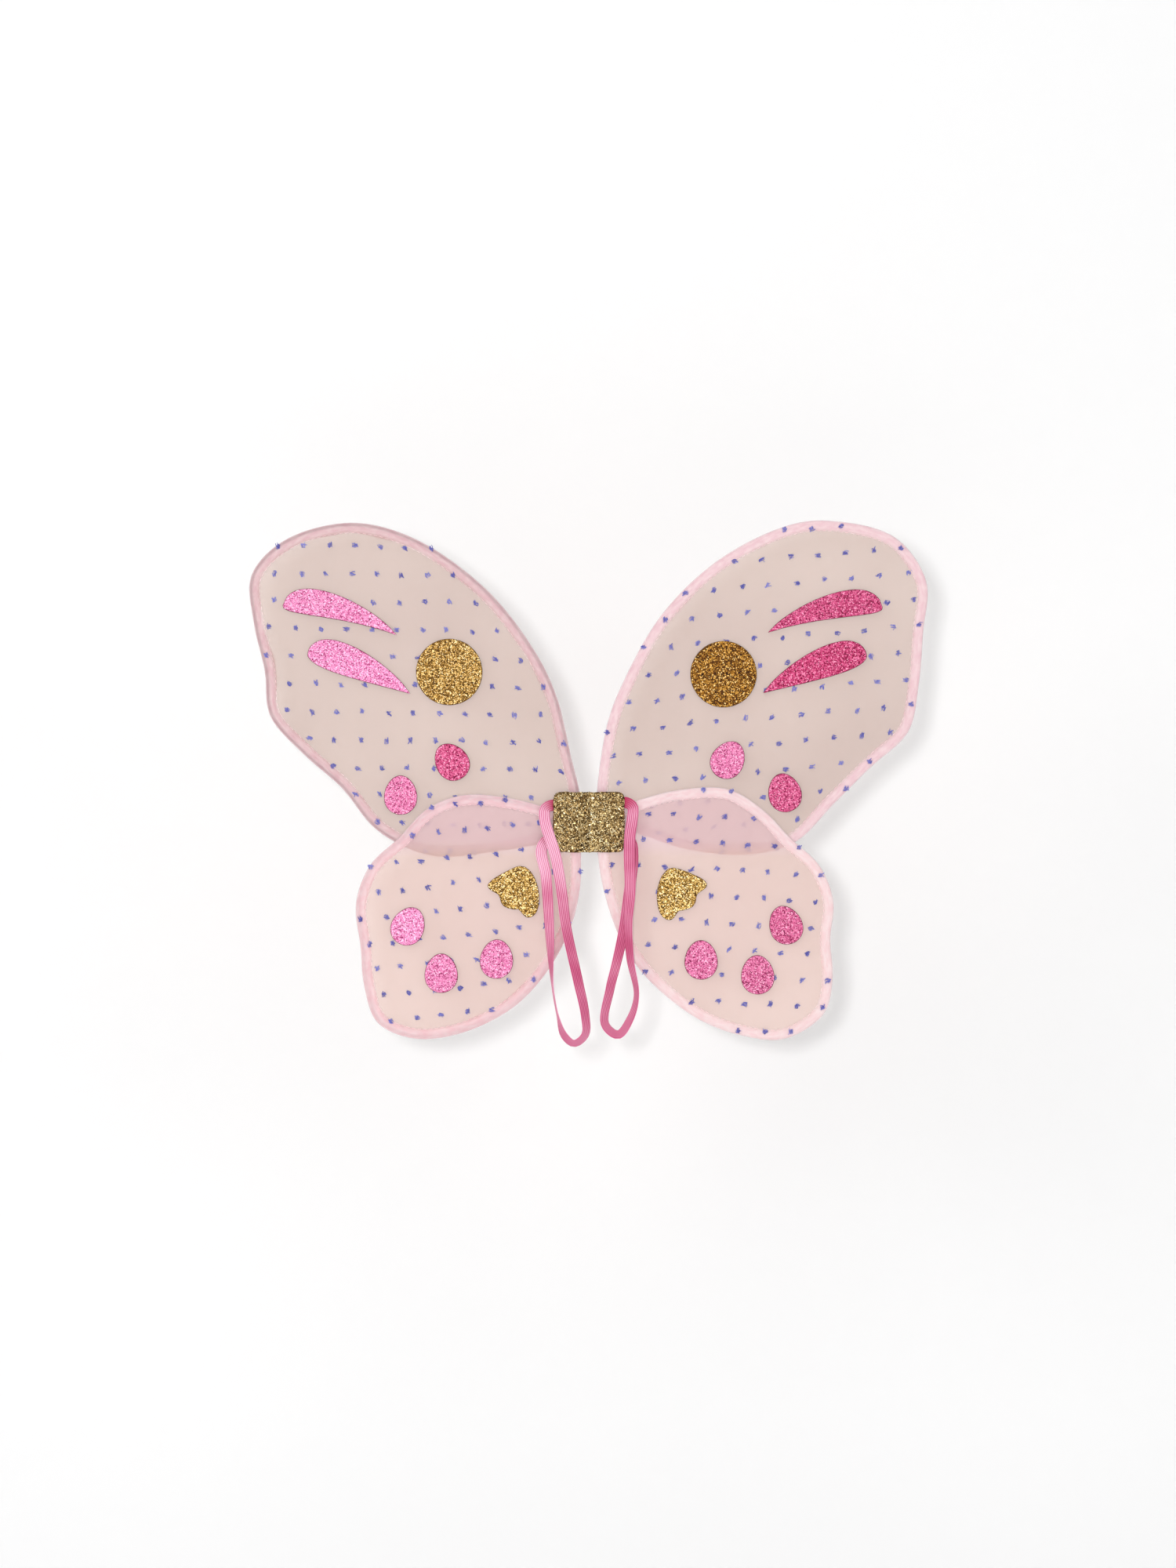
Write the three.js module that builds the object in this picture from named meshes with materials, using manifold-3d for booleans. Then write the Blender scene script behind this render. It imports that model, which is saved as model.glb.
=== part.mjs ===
// A child's fairy wings, in millimetres: four wire loops covered with two layers of mesh, gripped at
// their roots between a front and a back patch, with glued-on glitter shapes and two elastic straps.
// +X is the right-hand side as seen from the decorated front, which faces -Y. +Z is up.
// The origin is the middle of the back patch's middle strip, on its rear face.
import * as THREE from 'three';
import { mergeVertices } from 'three/addons/utils/BufferGeometryUtils.js';
import Module from 'manifold-3d';

const wasm = await Module();
wasm.setup();

// ---- driving dimensions ----

const clearance = 0.25; // between pieces that lie on each other
const foldClearance = 0.3; // between the two halves when they are folded together

const wire = { diameter: 1.2, sides: 6 };
const crimp = { length: 9, width: 2.4 };
const mesh = { thickness: 0.3, edgeSteps: 4 }; // steps from one outline point to the next
const patch = { width: 51, height: 43, thickness: 0.7, cornerRadius: 5 };
const glitterThickness = 1.5;
const curvePoints = 10; // along each curve of a glitter shape or a patch corner

// Each wire is bent by hand, so each wing has its own outline. It runs from the middle of the root's
// inner side, x outwards from the root edge and z up from the patch's middle, and is stretched so that
// its outermost point lies at the reach from the centre line and its end at the rise or the drop.
const wings = {
  upper: {
    left: {
      reach: 241.3,
      rise: 214,
      outline: [
        [0.6, 10], [1.2, 21], [7.3, 47], [17.7, 90], [32.8, 121.5], [67.5, 166], [120, 203],
        [165, 214], [213, 201], [236, 176], [234.4, 143], [226.5, 108], [222.6, 76], [199, 48.7],
        [171.7, 24.6], [146, -6], [107, -24.4], [59.7, -21], [29, -16], [12, -13], [3, -6],
      ],
    },
    right: {
      reach: 241.3,
      rise: 215.5,
      outline: [
        [0.4, 8], [0.3, 21], [7.6, 69.4], [17.7, 97], [46.8, 148.4], [87.7, 187.6], [135.8, 211.7],
        [165, 215.5], [213, 203.8], [236, 172], [233.8, 136], [230.5, 97], [223, 64.4],
        [195.7, 38.6], [170, 13], [142, -14.6], [108.4, -23.5], [64, -19.6], [29, -8.5],
        [12, -6.5], [2.8, -1],
      ],
    },
  },
  lower: {
    left: {
      reach: 166.3,
      drop: 154.6,
      outline: [
        [0.2, -13], [0.2, -26], [0.8, -46], [7, -73.4], [23.8, -105.8], [49, -132.7], [86.5, -151],
        [120, -154.6], [146, -142.8], [155.4, -116], [157.7, -90], [161, -58], [151, -30.8],
        [130.2, -11], [111, 9], [86.5, 19], [55.7, 18], [25, 10.6], [8, 5], [1.5, -3],
      ],
    },
    right: {
      reach: 174.7,
      drop: 154.8,
      outline: [
        [0.4, -11], [0.9, -22], [4.4, -45], [15.4, -79.5], [34, -109], [72.5, -140.6],
        [107.8, -153.4], [135, -154.8], [162.7, -136.6], [168.9, -111], [167.2, -84],
        [169.4, -56.6], [159.3, -30.8], [139.2, -11.8], [119, 9], [94.4, 23.5], [59, 23],
        [24.4, 14], [9, 8], [2, -1],
      ],
    },
  },
};

const disc = { diameter: 47.4 };
const egg = { width: 23.5, height: 28, taper: 0.12 };
const highFeather = { length: 84, crown: 17.3, heel: -8, sole: 4 };
const lowFeather = { length: 79, crown: 15.2, heel: -13, sole: -6 };

// Where the middle of each glitter shape lies, outwards from the centre line and up, and its turn in
// degrees, which tips the top of a shape towards the centre line.
const glitterOn = {
  upper: {
    left: {
      gold_disc: [99.7, 107.2, 0],
      feather_high: [178, 144.2, 14.6],
      feather_low: [164, 107, 22.9],
      egg_inner: [98, 43.1, -35],
      egg_outer: [134.4, 19.3, 0],
    },
    right: {
      gold_disc: [96.2, 105.6, 0],
      feather_high: [168.8, 144.4, 12.5],
      feather_low: [161.3, 106.6, 21.5],
      egg_inner: [99.4, 44.5, -30],
      egg_outer: [139.8, 21, 14],
    },
  },
  lower: {
    left: {
      gold_shell: [52.9, -49.6, 0],
      egg_inner: [65.8, -97.7, 3],
      egg_middle: [105.3, -107.8, 0],
      egg_outer: [128.9, -74.2, 25],
    },
    right: {
      gold_shell: [65.6, -50.4, 6],
      egg_inner: [80.1, -98.3, 0],
      egg_middle: [120.4, -108.9, 3],
      egg_outer: [140.4, -73.4, 20],
    },
  },
};

// Each strap's route: outwards from the patch's edge, forwards from the pocket, up, and the twist
// of the elastic from flat to the front, in degrees.
const strap = { width: 8, thickness: 0.8, steps: 56, cornerWidth: 0.25 };
const strapRoute = {
  left: [
    [-13, 0, 12, 0], [-5, 0, 12, 0], [1, 0.2, 12, 0], [5.6, 1.8, 9.5, 0], [5.8, 3.6, 1, 0],
    [3, 4.6, -9, 0], [-1.5, 5, -23, 8], [-5.8, 5.4, -47, 16], [-9.3, 6, -74, 26],
    [-17.8, 6.6, -113, 30], [-22.8, 6.8, -137, 40], [-22.9, 6.6, -151.2, 46], [-15, 6.2, -157.5, 48],
    [-7.9, 6, -151.8, 50], [-3.4, 5.8, -138, 79], [0.3, 5.6, -117, 81], [2.6, 5, -74, 32],
    [5.2, 3.8, -37, 12], [8.4, 1.8, -20, 0], [4.8, 0.5, -13.2, 0], [0.5, 0, -12, 0], [-5, 0, -12, 0],
    [-13, 0, -12, 0],
  ],
  right: [
    [-13, 0, 14, 0], [-5, 0, 14, 0], [1, 0.2, 14, 0], [5.6, 1.8, 11, 0], [5.4, 4.6, 2, 0],
    [3.8, 6.6, -9, 0], [3.3, 7.8, -23, 0], [3.9, 9, -47, 12], [2.5, 9.4, -71, 40], [3.9, 9, -97, 50],
    [8.4, 8, -123, 64], [3.9, 7.2, -140, 52], [-4.6, 7, -151.3, 44], [-14, 6.6, -144, 43],
    [-10.5, 6.2, -119, 36], [-6, 5.4, -101, 31], [-1, 4.2, -79, 20], [3, 3.4, -52, 8],
    [5.8, 2.4, -26, 0], [4.6, 0.9, -14.6, 0], [0.5, 0, -12, 0], [-5, 0, -12, 0], [-13, 0, -12, 0],
  ],
};

// ---- the stack of layers, from the back to the front ----

const wireInset = wire.diameter / 2 + mesh.thickness + clearance;
const wingDepth = 2 * wireInset;
const stackDepth = 2 * patch.thickness + 2 * wingDepth + strap.thickness + 4 * clearance;
const spineDepth = 2 * patch.thickness + clearance;
const foldX = stackDepth / 2 + foldClearance;
const rootX = foldX + spineDepth / 2 + clearance;
const middleY = -spineDepth / 2;

const backPatchY = middleY + stackDepth / 2;
const upperWingY = backPatchY - patch.thickness - clearance;
const lowerWingY = upperWingY - wingDepth - clearance;
const strapY = lowerWingY - wingDepth - clearance - strap.thickness / 2;
const frontPatchY = strapY - strap.thickness / 2 - clearance;

// ---- materials ----

function finish(color, roughness, metalness = 0) {
  return new THREE.MeshStandardMaterial({ color, roughness, metalness });
}

const steelFinish = () => finish(0x8c8886, 0.4, 0.9);
const meshFinish = () => finish(0xecd3cf, 0.8);
const goldFinish = () => finish(0xa8843f, 0.5, 0.6);
const pinkFinish = () => finish(0xe070ac, 0.5, 0.2);
const elasticFinish = () => finish(0xf08fbd, 0.85);

// ---- helpers ----

// A named mesh whose flat outline faces the front, with its rear face at y.
function sheet(name, outline, thickness, y, material, x = 0, z = 0) {
  const shape = new THREE.Shape(outline);
  const geometry = new THREE.ExtrudeGeometry(shape, { depth: thickness, bevelEnabled: false });
  return placed(name, geometry, material, x, y, z);
}

function placed(name, geometry, material, x, y, z) {
  const piece = new THREE.Mesh(geometry, material);
  piece.name = name;
  piece.rotation.x = Math.PI / 2;
  piece.position.set(x, y, z);
  return piece;
}

function solidOf(geometry) {
  const bare = new THREE.BufferGeometry().setAttribute('position', geometry.getAttribute('position'));
  bare.setIndex(geometry.index);
  const merged = mergeVertices(bare, 1e-4);
  return new wasm.Manifold(new wasm.Mesh({
    numProp: 3,
    vertProperties: merged.attributes.position.array,
    triVerts: new Uint32Array(merged.index.array),
  }));
}

function cutFrom(body, tool) {
  const { vertProperties, triVerts } = solidOf(body).subtract(solidOf(tool)).getMesh();
  const geometry = new THREE.BufferGeometry();
  geometry.setAttribute('position', new THREE.BufferAttribute(vertProperties, 3));
  geometry.setIndex(new THREE.BufferAttribute(triVerts, 1));
  return geometry;
}

// A section carried along frames, with its x laid across and its y towards the face.
function swept(name, section, frames, material) {
  const steps = frames.length - 1;
  const band = new THREE.ExtrudeGeometry(section, { depth: steps, steps, bevelEnabled: false });
  const place = band.getAttribute('position');
  for (let i = 0; i < place.count; i += 1) {
    const { spot, across, face } = frames[Math.round(place.getZ(i))];
    const at = spot.clone().addScaledVector(across, place.getX(i)).addScaledVector(face, place.getY(i));
    place.setXYZ(i, at.x, at.y, at.z);
  }
  band.computeVertexNormals();
  const piece = new THREE.Mesh(band, material);
  piece.name = name;
  return piece;
}

// A closed loop of points, opened by a gap on each side of its first point.
function opened(points, gap) {
  const closed = [...points, points[0]];
  const reached = [0];
  for (let i = 1; i < closed.length; i += 1) {
    reached.push(reached[i - 1] + closed[i].distanceTo(closed[i - 1]));
  }
  const total = reached.at(-1);
  const at = (distance) => {
    const i = reached.findIndex((length) => length >= distance);
    const share = (distance - reached[i - 1]) / (reached[i] - reached[i - 1]);
    return closed[i - 1].clone().lerp(closed[i], share);
  };
  const margin = gap + wire.diameter / 2;
  const kept = closed.filter((_, i) => reached[i] > margin && reached[i] < total - margin);
  return [at(gap), ...kept, at(total - gap)];
}

// A closed outline moved inwards by a distance.
function inset(points, distance) {
  const inward = THREE.ShapeUtils.isClockWise(points) ? -1 : 1;
  return points.map((point, i) => {
    const before = points[(i + points.length - 1) % points.length];
    const after = points[(i + 1) % points.length];
    const along = after.clone().sub(before).normalize();
    return new THREE.Vector2(point.x - inward * distance * along.y, point.y + inward * distance * along.x);
  });
}

function turned(point, degrees) {
  return point.clone().rotateAround(new THREE.Vector2(), THREE.MathUtils.degToRad(degrees));
}

// ---- wings ----

// How far an outline is stretched from the size it is drawn at.
function stretchOf({ outline, reach, rise, drop }) {
  const outermost = Math.max(...outline.map(([x]) => x));
  const end = rise ? Math.max(...outline.map(([, z]) => z)) : -Math.min(...outline.map(([, z]) => z));
  return { x: (reach - rootX) / outermost, z: (rise ?? drop) / end };
}

// The wing's outer edge as points, already mirrored to its side.
function wingEdge(wing, side) {
  const stretch = stretchOf(wing);
  const corners = wing.outline.map(([x, z]) => (
    new THREE.Vector3(side.sign * (rootX + x * stretch.x), z * stretch.z, 0)));
  const loop = new THREE.CatmullRomCurve3(corners, true, 'centripetal');
  const points = loop.getPoints(mesh.edgeSteps * corners.length).slice(0, -1);
  return points.map(({ x, y }) => new THREE.Vector2(x, y));
}

// The wire loop is open at its root, where the crimp joins its ends.
function wingWire(name, edge, y) {
  const line = opened(inset(edge, wireInset), crimp.length / 2 + clearance);
  const face = new THREE.Vector3(0, -1, 0);
  const frames = line.map((point, i) => {
    const before = line[Math.max(i - 1, 0)];
    const after = line[Math.min(i + 1, line.length - 1)];
    const along = new THREE.Vector3(after.x - before.x, 0, after.y - before.y).normalize();
    return { spot: new THREE.Vector3(point.x, y, point.y), across: face.clone().cross(along), face };
  });
  const section = new THREE.Shape();
  for (let i = 0; i < wire.sides; i += 1) {
    const angle = (2 * Math.PI * i) / wire.sides;
    const x = (wire.diameter / 2) * Math.cos(angle);
    const z = (wire.diameter / 2) * Math.sin(angle);
    if (i === 0) section.moveTo(x, z);
    else section.lineTo(x, z);
  }
  return swept(name, section, frames, steelFinish());
}

function wingCrimp(name, edge, y) {
  const [spot] = inset(edge, mesh.thickness + 2 * clearance + crimp.width / 2);
  const heading = edge[1].clone().sub(edge[edge.length - 1]);
  const piece = new THREE.Mesh(new THREE.BoxGeometry(crimp.width, wire.diameter, crimp.length), steelFinish());
  piece.name = name;
  piece.position.set(spot.x, y, spot.y);
  piece.rotation.y = Math.atan2(heading.x, heading.y);
  return piece;
}

// The front layer turns back over the wire as a rim, so it is a shallow tray.
function frontMesh(name, edge, y) {
  const depth = wingDepth - mesh.thickness - clearance;
  const block = new THREE.ExtrudeGeometry(new THREE.Shape(edge), { depth, bevelEnabled: false });
  const hollow = new THREE.ExtrudeGeometry(new THREE.Shape(inset(edge, mesh.thickness)), {
    depth,
    bevelEnabled: false,
  });
  hollow.translate(0, 0, -mesh.thickness);
  return placed(name, cutFrom(block, hollow), meshFinish(), 0, y - mesh.thickness - clearance, 0);
}

function wingPieces(prefix, edge, y) {
  const wireY = y - mesh.thickness - clearance - wire.diameter / 2;
  return [
    sheet(`${prefix}_back_mesh`, edge, mesh.thickness, y, meshFinish()),
    wingWire(`${prefix}_wire`, edge, wireY),
    wingCrimp(`${prefix}_crimp`, edge, wireY),
    frontMesh(`${prefix}_front_mesh`, edge, y),
  ];
}

// ---- glitter shapes, drawn for the right-hand side ----

function discShape() {
  return new THREE.Shape().absarc(0, 0, disc.diameter / 2, 0, 2 * Math.PI);
}

function eggShape() {
  const points = [];
  const count = 2.4 * curvePoints;
  for (let i = 0; i < count; i += 1) {
    const angle = (2 * Math.PI * i) / count;
    const narrowing = 1 - egg.taper * Math.sin(angle);
    points.push(new THREE.Vector2(
      (egg.width / 2) * narrowing * Math.cos(angle),
      (egg.height / 2) * Math.sin(angle),
    ));
  }
  return new THREE.Shape(points);
}

// A curved teardrop from its tip at the left to its blunt end at the right.
function featherShape({ length, crown, heel, sole }) {
  const tip = -length / 2;
  const blunt = length / 2;
  const shape = new THREE.Shape();
  shape.moveTo(tip, 0);
  shape.bezierCurveTo(tip + 0.24 * length, 0.95 * crown, blunt, 1.7 * crown, blunt, 0);
  shape.bezierCurveTo(blunt, heel, tip + 0.55 * length, sole, tip, 0);
  return shape;
}

// A fan with a smooth back and three scallops along its lower outer side.
function shellShape() {
  const shape = new THREE.Shape();
  shape.moveTo(12.3, -1.7);
  shape.bezierCurveTo(15, 0, 21.5, 2, 18.5, 6);
  shape.bezierCurveTo(15.5, 10, 6, 14.5, -0.5, 17.5);
  shape.bezierCurveTo(-11, 22, -17.5, 6, -17.5, -4.5);
  shape.bezierCurveTo(-17.5, -14, -14, -18.5, -10, -18.5);
  shape.bezierCurveTo(-6.5, -18.5, -5.5, -15, -2.8, -12.8);
  shape.bezierCurveTo(4, -12.6, 9.5, -12, 10.6, -4.5);
  shape.lineTo(12.3, -1.7);
  return shape;
}

function glitterKind(name) {
  if (name === 'gold_disc') return { shape: discShape(), material: goldFinish() };
  if (name === 'gold_shell') return { shape: shellShape(), material: goldFinish() };
  if (name === 'feather_high') return { shape: featherShape(highFeather), material: pinkFinish() };
  if (name === 'feather_low') return { shape: featherShape(lowFeather), material: pinkFinish() };
  return { shape: eggShape(), material: pinkFinish() };
}

function glitterPieces(level, side, faceY) {
  const stretch = stretchOf(wings[level][side.name]);
  return Object.entries(glitterOn[level][side.name]).map(([name, [out, up, turn]]) => {
    const { shape, material } = glitterKind(name);
    const points = shape.getPoints(curvePoints).map((point) => {
      const swung = turned(point, turn);
      return new THREE.Vector2(side.sign * swung.x, swung.y);
    });
    const x = side.sign * (rootX + (out - rootX) * stretch.x);
    const y = faceY - clearance;
    return sheet(`${level}_${side.name}_${name}`, points, glitterThickness, y, material, x, up * stretch.z);
  });
}

// ---- patches ----

function patchSide(name, side, y) {
  const outer = patch.width / 2;
  const top = patch.height / 2;
  const radius = patch.cornerRadius;
  const shape = new THREE.Shape();
  shape.moveTo(rootX, -top);
  shape.absarc(outer - radius, radius - top, radius, -Math.PI / 2, 0);
  shape.absarc(outer - radius, top - radius, radius, 0, Math.PI / 2);
  shape.lineTo(rootX, top);
  const points = shape.getPoints(curvePoints).map((point) => new THREE.Vector2(side.sign * point.x, point.y));
  return sheet(`${name}_${side.name}`, points, patch.thickness, y, goldFinish());
}

function patchMiddle(name, y) {
  const width = 2 * (foldX - foldClearance);
  const geometry = new THREE.BoxGeometry(width, patch.height, patch.thickness);
  return placed(name, geometry, goldFinish(), 0, y, 0);
}

// ---- straps ----

// A flat band whose section is carried along the route and twisted about it.
function strapPiece(side) {
  const route = strapRoute[side.name];
  const edgeX = patch.width / 2;
  const points = route.map(([out, forward, up]) => (
    new THREE.Vector3(side.sign * (edgeX + out), strapY - forward, up)));
  const centre = new THREE.CatmullRomCurve3(points);
  const twists = new THREE.CatmullRomCurve3(route.map((p) => new THREE.Vector3(side.sign * p[3], 0, 0)));

  const wide = strap.width / 2;
  const thin = strap.thickness / 2;
  const flat = wide - strap.cornerWidth;
  const low = thin - strap.cornerWidth;
  const section = new THREE.Shape([
    [wide, low], [flat, thin], [-flat, thin], [-wide, low],
    [-wide, -low], [-flat, -thin], [flat, -thin], [wide, -low],
  ].map(([x, y]) => new THREE.Vector2(x, y)));

  const frames = [];
  for (let i = 0; i <= strap.steps; i += 1) {
    const at = centre.getUtoTmapping(i / strap.steps);
    const along = centre.getTangent(at);
    const face = new THREE.Vector3(0, -1, 0).projectOnPlane(along).normalize();
    face.applyAxisAngle(along, THREE.MathUtils.degToRad(twists.getPoint(at).x));
    frames.push({ spot: centre.getPoint(at), across: face.clone().cross(along), face });
  }
  return swept(`strap_${side.name}`, section, frames, elasticFinish());
}

// ---- assembly ----

function sidePieces(side) {
  return [
    ...wingPieces(`upper_${side.name}`, wingEdge(wings.upper[side.name], side), upperWingY),
    ...wingPieces(`lower_${side.name}`, wingEdge(wings.lower[side.name], side), lowerWingY),
    ...glitterPieces('upper', side, upperWingY - wingDepth),
    ...glitterPieces('lower', side, lowerWingY - wingDepth),
    patchSide('back_patch', side, backPatchY),
    patchSide('front_patch', side, frontPatchY),
    strapPiece(side),
  ];
}

const fairyWings = new THREE.Group();
fairyWings.add(patchMiddle('back_patch_middle', -patch.thickness / 2));
fairyWings.add(patchMiddle('front_patch_middle', -1.5 * patch.thickness - clearance));
fairyWings.add(...sidePieces({ name: 'left', sign: -1 }));
fairyWings.add(...sidePieces({ name: 'right', sign: 1 }));

export default fairyWings;
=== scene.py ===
# Fairy wings: net over bent wire, thread tufts, glitter shapes, a creased glitter patch and two elastic
# straps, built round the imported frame. Metres. The decorated front faces -Y and +Z is up.
import math

import bpy
import numpy as np
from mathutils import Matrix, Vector, noise
from mathutils.geometry import delaunay_2d_cdt


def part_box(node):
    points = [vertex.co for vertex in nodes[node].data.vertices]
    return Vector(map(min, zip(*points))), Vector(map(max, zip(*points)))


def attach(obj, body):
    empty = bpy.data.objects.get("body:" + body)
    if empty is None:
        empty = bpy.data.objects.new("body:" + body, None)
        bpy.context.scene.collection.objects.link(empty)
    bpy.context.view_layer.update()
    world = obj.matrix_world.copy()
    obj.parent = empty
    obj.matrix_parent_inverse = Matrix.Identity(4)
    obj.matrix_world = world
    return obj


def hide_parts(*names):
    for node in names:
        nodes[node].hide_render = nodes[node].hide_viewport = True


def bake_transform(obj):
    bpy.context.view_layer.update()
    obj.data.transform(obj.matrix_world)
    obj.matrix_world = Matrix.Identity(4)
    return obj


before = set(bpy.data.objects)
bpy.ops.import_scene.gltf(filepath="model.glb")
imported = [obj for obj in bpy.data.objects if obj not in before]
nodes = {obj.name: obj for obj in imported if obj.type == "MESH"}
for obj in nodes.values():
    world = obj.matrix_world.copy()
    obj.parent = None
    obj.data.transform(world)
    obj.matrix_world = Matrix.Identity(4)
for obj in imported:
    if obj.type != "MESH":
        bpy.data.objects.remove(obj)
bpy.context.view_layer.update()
scene = bpy.context.scene
scene.view_settings.view_transform = "Standard"
sides = {"left": -1, "right": 1}
mm = 0.001


# ---- meshes and node trees ----

def addPiece(name, points, faces, materials=()):
    mesh = bpy.data.meshes.new(name)
    mesh.from_pydata([tuple(p) for p in points], [], faces)
    for material in materials:
        mesh.materials.append(material)
    mesh.polygons.foreach_set("use_smooth", [True] * len(mesh.polygons))
    piece = bpy.data.objects.new(name, mesh)
    scene.collection.objects.link(piece)
    return piece


def addLine(name, points, closed=False):
    count = len(points)
    mesh = bpy.data.meshes.new(name)
    edges = [(i, (i + 1) % count) for i in range(count if closed else count - 1)]
    mesh.from_pydata([tuple(p) for p in points], edges, [])
    piece = bpy.data.objects.new(name, mesh)
    scene.collection.objects.link(piece)
    return piece


# Turns what the modifiers make into the piece's own plain mesh.
def settle(piece):
    graph = bpy.context.evaluated_depsgraph_get()
    made = bpy.data.meshes.new_from_object(
        piece.evaluated_get(graph), preserve_all_data_layers=True, depsgraph=graph)
    piece.modifiers.clear()
    piece.data = made
    return piece


# A numeric value per point, which the materials can read.
def setPointValue(piece, name, values):
    attribute = piece.data.attributes.new(name, "FLOAT", "POINT")
    attribute.data.foreach_set("value", np.broadcast_to(values, len(piece.data.vertices)).astype(np.float32))


def result(node, name=None):
    return next(s for s in node.outputs if s.enabled and name in (None, s.name))


def addNode(tree, kind, inputs=None, **settings):
    node = tree.nodes.new(kind)
    for name, value in settings.items():
        setattr(node, name, value)
    for name, value in (inputs or {}).items():
        byPlace = isinstance(name, int)
        socket = node.inputs[name] if byPlace else next(s for s in node.inputs
            if s.enabled and s.name == name)
        if isinstance(value, bpy.types.Node):
            value = result(value)
        if isinstance(value, bpy.types.NodeSocket):
            tree.links.new(value, socket)
        else:
            socket.default_value = value
    return node


def geoNode(tree, kind, inputs=None, **settings):
    return addNode(tree, "GeometryNode" + kind, inputs, **settings)


def shaderNode(tree, kind, inputs=None, **settings):
    return addNode(tree, "ShaderNode" + kind, inputs, **settings)


def vectorCalc(tree, operation, a, b=None, scale=None):
    given = {0: a, 1: b, "Scale": scale}
    return shaderNode(tree, "VectorMath", {k: v for k, v in given.items() if v is not None},
        operation=operation)


# Carries a value from one range to another, held at the ends.
def remap(tree, value, low, high, toLow, toHigh):
    return shaderNode(tree, "MapRange", {
        "Value": value, "From Min": low, "From Max": high, "To Min": toLow, "To Max": toHigh})


def calc(tree, operation, a, b=0.0, c=0.0):
    return shaderNode(tree, "Math", {0: a, 1: b, 2: c}, operation=operation)


def xyz(tree, x=0.0, y=0.0, z=0.0):
    return shaderNode(tree, "CombineXYZ", {"X": x, "Y": y, "Z": z})


def randomValue(tree, low, high, seed, kind="FLOAT"):
    return addNode(tree, "FunctionNodeRandomValue", {"Min": low, "Max": high, "Seed": seed}, data_type=kind)


# A geometry tree with the given named inputs; returns it and its input sockets.
def newTree(name, inputs):
    tree = bpy.data.node_groups.new(name, "GeometryNodeTree")
    tree.interface.new_socket("Geometry", in_out="INPUT", socket_type="NodeSocketGeometry")
    for label, kind in inputs.items():
        tree.interface.new_socket(label, in_out="INPUT", socket_type="NodeSocket" + kind)
    tree.interface.new_socket("Geometry", in_out="OUTPUT", socket_type="NodeSocketGeometry")
    return tree, tree.nodes.new("NodeGroupInput").outputs


# Ends a tree: instances made real, smooth shading and the material.
def endTree(tree, geometry, material):
    real = geoNode(tree, "RealizeInstances", {"Geometry": geometry})
    smooth = geoNode(tree, "SetShadeSmooth", {"Geometry": real})
    painted = geoNode(tree, "SetMaterial", {"Geometry": smooth, "Material": material})
    addNode(tree, "NodeGroupOutput", {"Geometry": painted})


def runTree(piece, tree, values):
    modifier = piece.modifiers.new(tree.name, "NODES")
    modifier.node_group = tree
    identifiers = {item.name: item.identifier for item in tree.interface.items_tree if item.in_out == "INPUT"}
    for name, value in values.items():
        modifier[identifiers[name]] = value
    return settle(piece)


# ---- outlines taken from the frame ----

# The outline of a flat node's rear face as x and z, anticlockwise as seen from the front.
def rearOutline(nodeName):
    mesh = nodes[nodeName].data
    points = np.array([v.co[:] for v in mesh.vertices])
    rear = points[:, 1].max()
    flat = np.abs(points[:, 1] - rear) < 0.01 * mm
    edges = set()
    for face in mesh.polygons:
        if all(flat[i] for i in face.vertices):
            spots = [(round(points[i, 0] * 1e6), round(points[i, 2] * 1e6)) for i in face.vertices]
            for edge in zip(spots, spots[1:] + spots[:1]):
                if edge[::-1] in edges:
                    edges.remove(edge[::-1])
                else:
                    edges.add(edge)
    following = dict(edges)
    loop = [min(following)]
    while following[loop[-1]] != loop[0]:
        loop.append(following[loop[-1]])
    outline = np.array(loop) * 1e-6
    return outline if areaOf(outline) > 0 else outline[::-1]


def areaOf(outline):
    x, z = outline.T
    return float(x @ np.roll(z, -1) - z @ np.roll(x, -1)) / 2


# A closed outline on smooth curves through its points, which stays sharp at corners.
def smoothLoop(outline, step, sharpest=42):
    arriving, leaving = outline - np.roll(outline, 1, axis=0), np.roll(outline, -1, axis=0) - outline
    lengthIn, lengthOut = np.linalg.norm(arriving, axis=1), np.linalg.norm(leaving, axis=1)
    unitIn, unitOut = arriving / lengthIn[:, None], leaving / lengthOut[:, None]
    corner = (unitIn * unitOut).sum(axis=1) < math.cos(math.radians(sharpest))
    slope = (unitIn * lengthOut[:, None] + unitOut * lengthIn[:, None]) / (lengthIn + lengthOut)[:, None]
    made = []
    for i, start in enumerate(outline):
        j = (i + 1) % len(outline)
        span = lengthOut[i]
        first = unitOut[i] if corner[i] else slope[i]
        last = unitOut[i] if corner[j] else slope[j]
        for t in np.arange(max(1, round(span / step))) / max(1, round(span / step)):
            made.append(
                start * (2 * t**3 - 3 * t**2 + 1) + outline[j] * (3 * t**2 - 2 * t**3)
                + span * (first * (t**3 - 2 * t**2 + t) + last * (t**3 - t**2)))
    return np.array(made)


# How far spots are from an anticlockwise outline, and how far round it their nearest places are.
def edgeRun(spots, outline):
    following = np.roll(outline, -1, axis=0) - outline
    lengths = np.linalg.norm(following, axis=1)
    reached = np.concatenate([[0], np.cumsum(lengths)[:-1]])
    far, run = np.empty(len(spots)), np.empty(len(spots))
    for first in range(0, len(spots), 2000):
        part = spots[first:first + 2000]
        offset = part[:, None] - outline[None]
        share = np.clip((offset * following).sum(axis=2) / lengths**2, 0, 1)
        gap = np.linalg.norm(offset - share[:, :, None] * following, axis=2)
        nearest = gap.argmin(axis=1)
        rows = np.arange(len(part))
        far[first:first + 2000] = gap[rows, nearest]
        run[first:first + 2000] = reached[nearest] + share[rows, nearest] * lengths[nearest]
    return far, run


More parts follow.
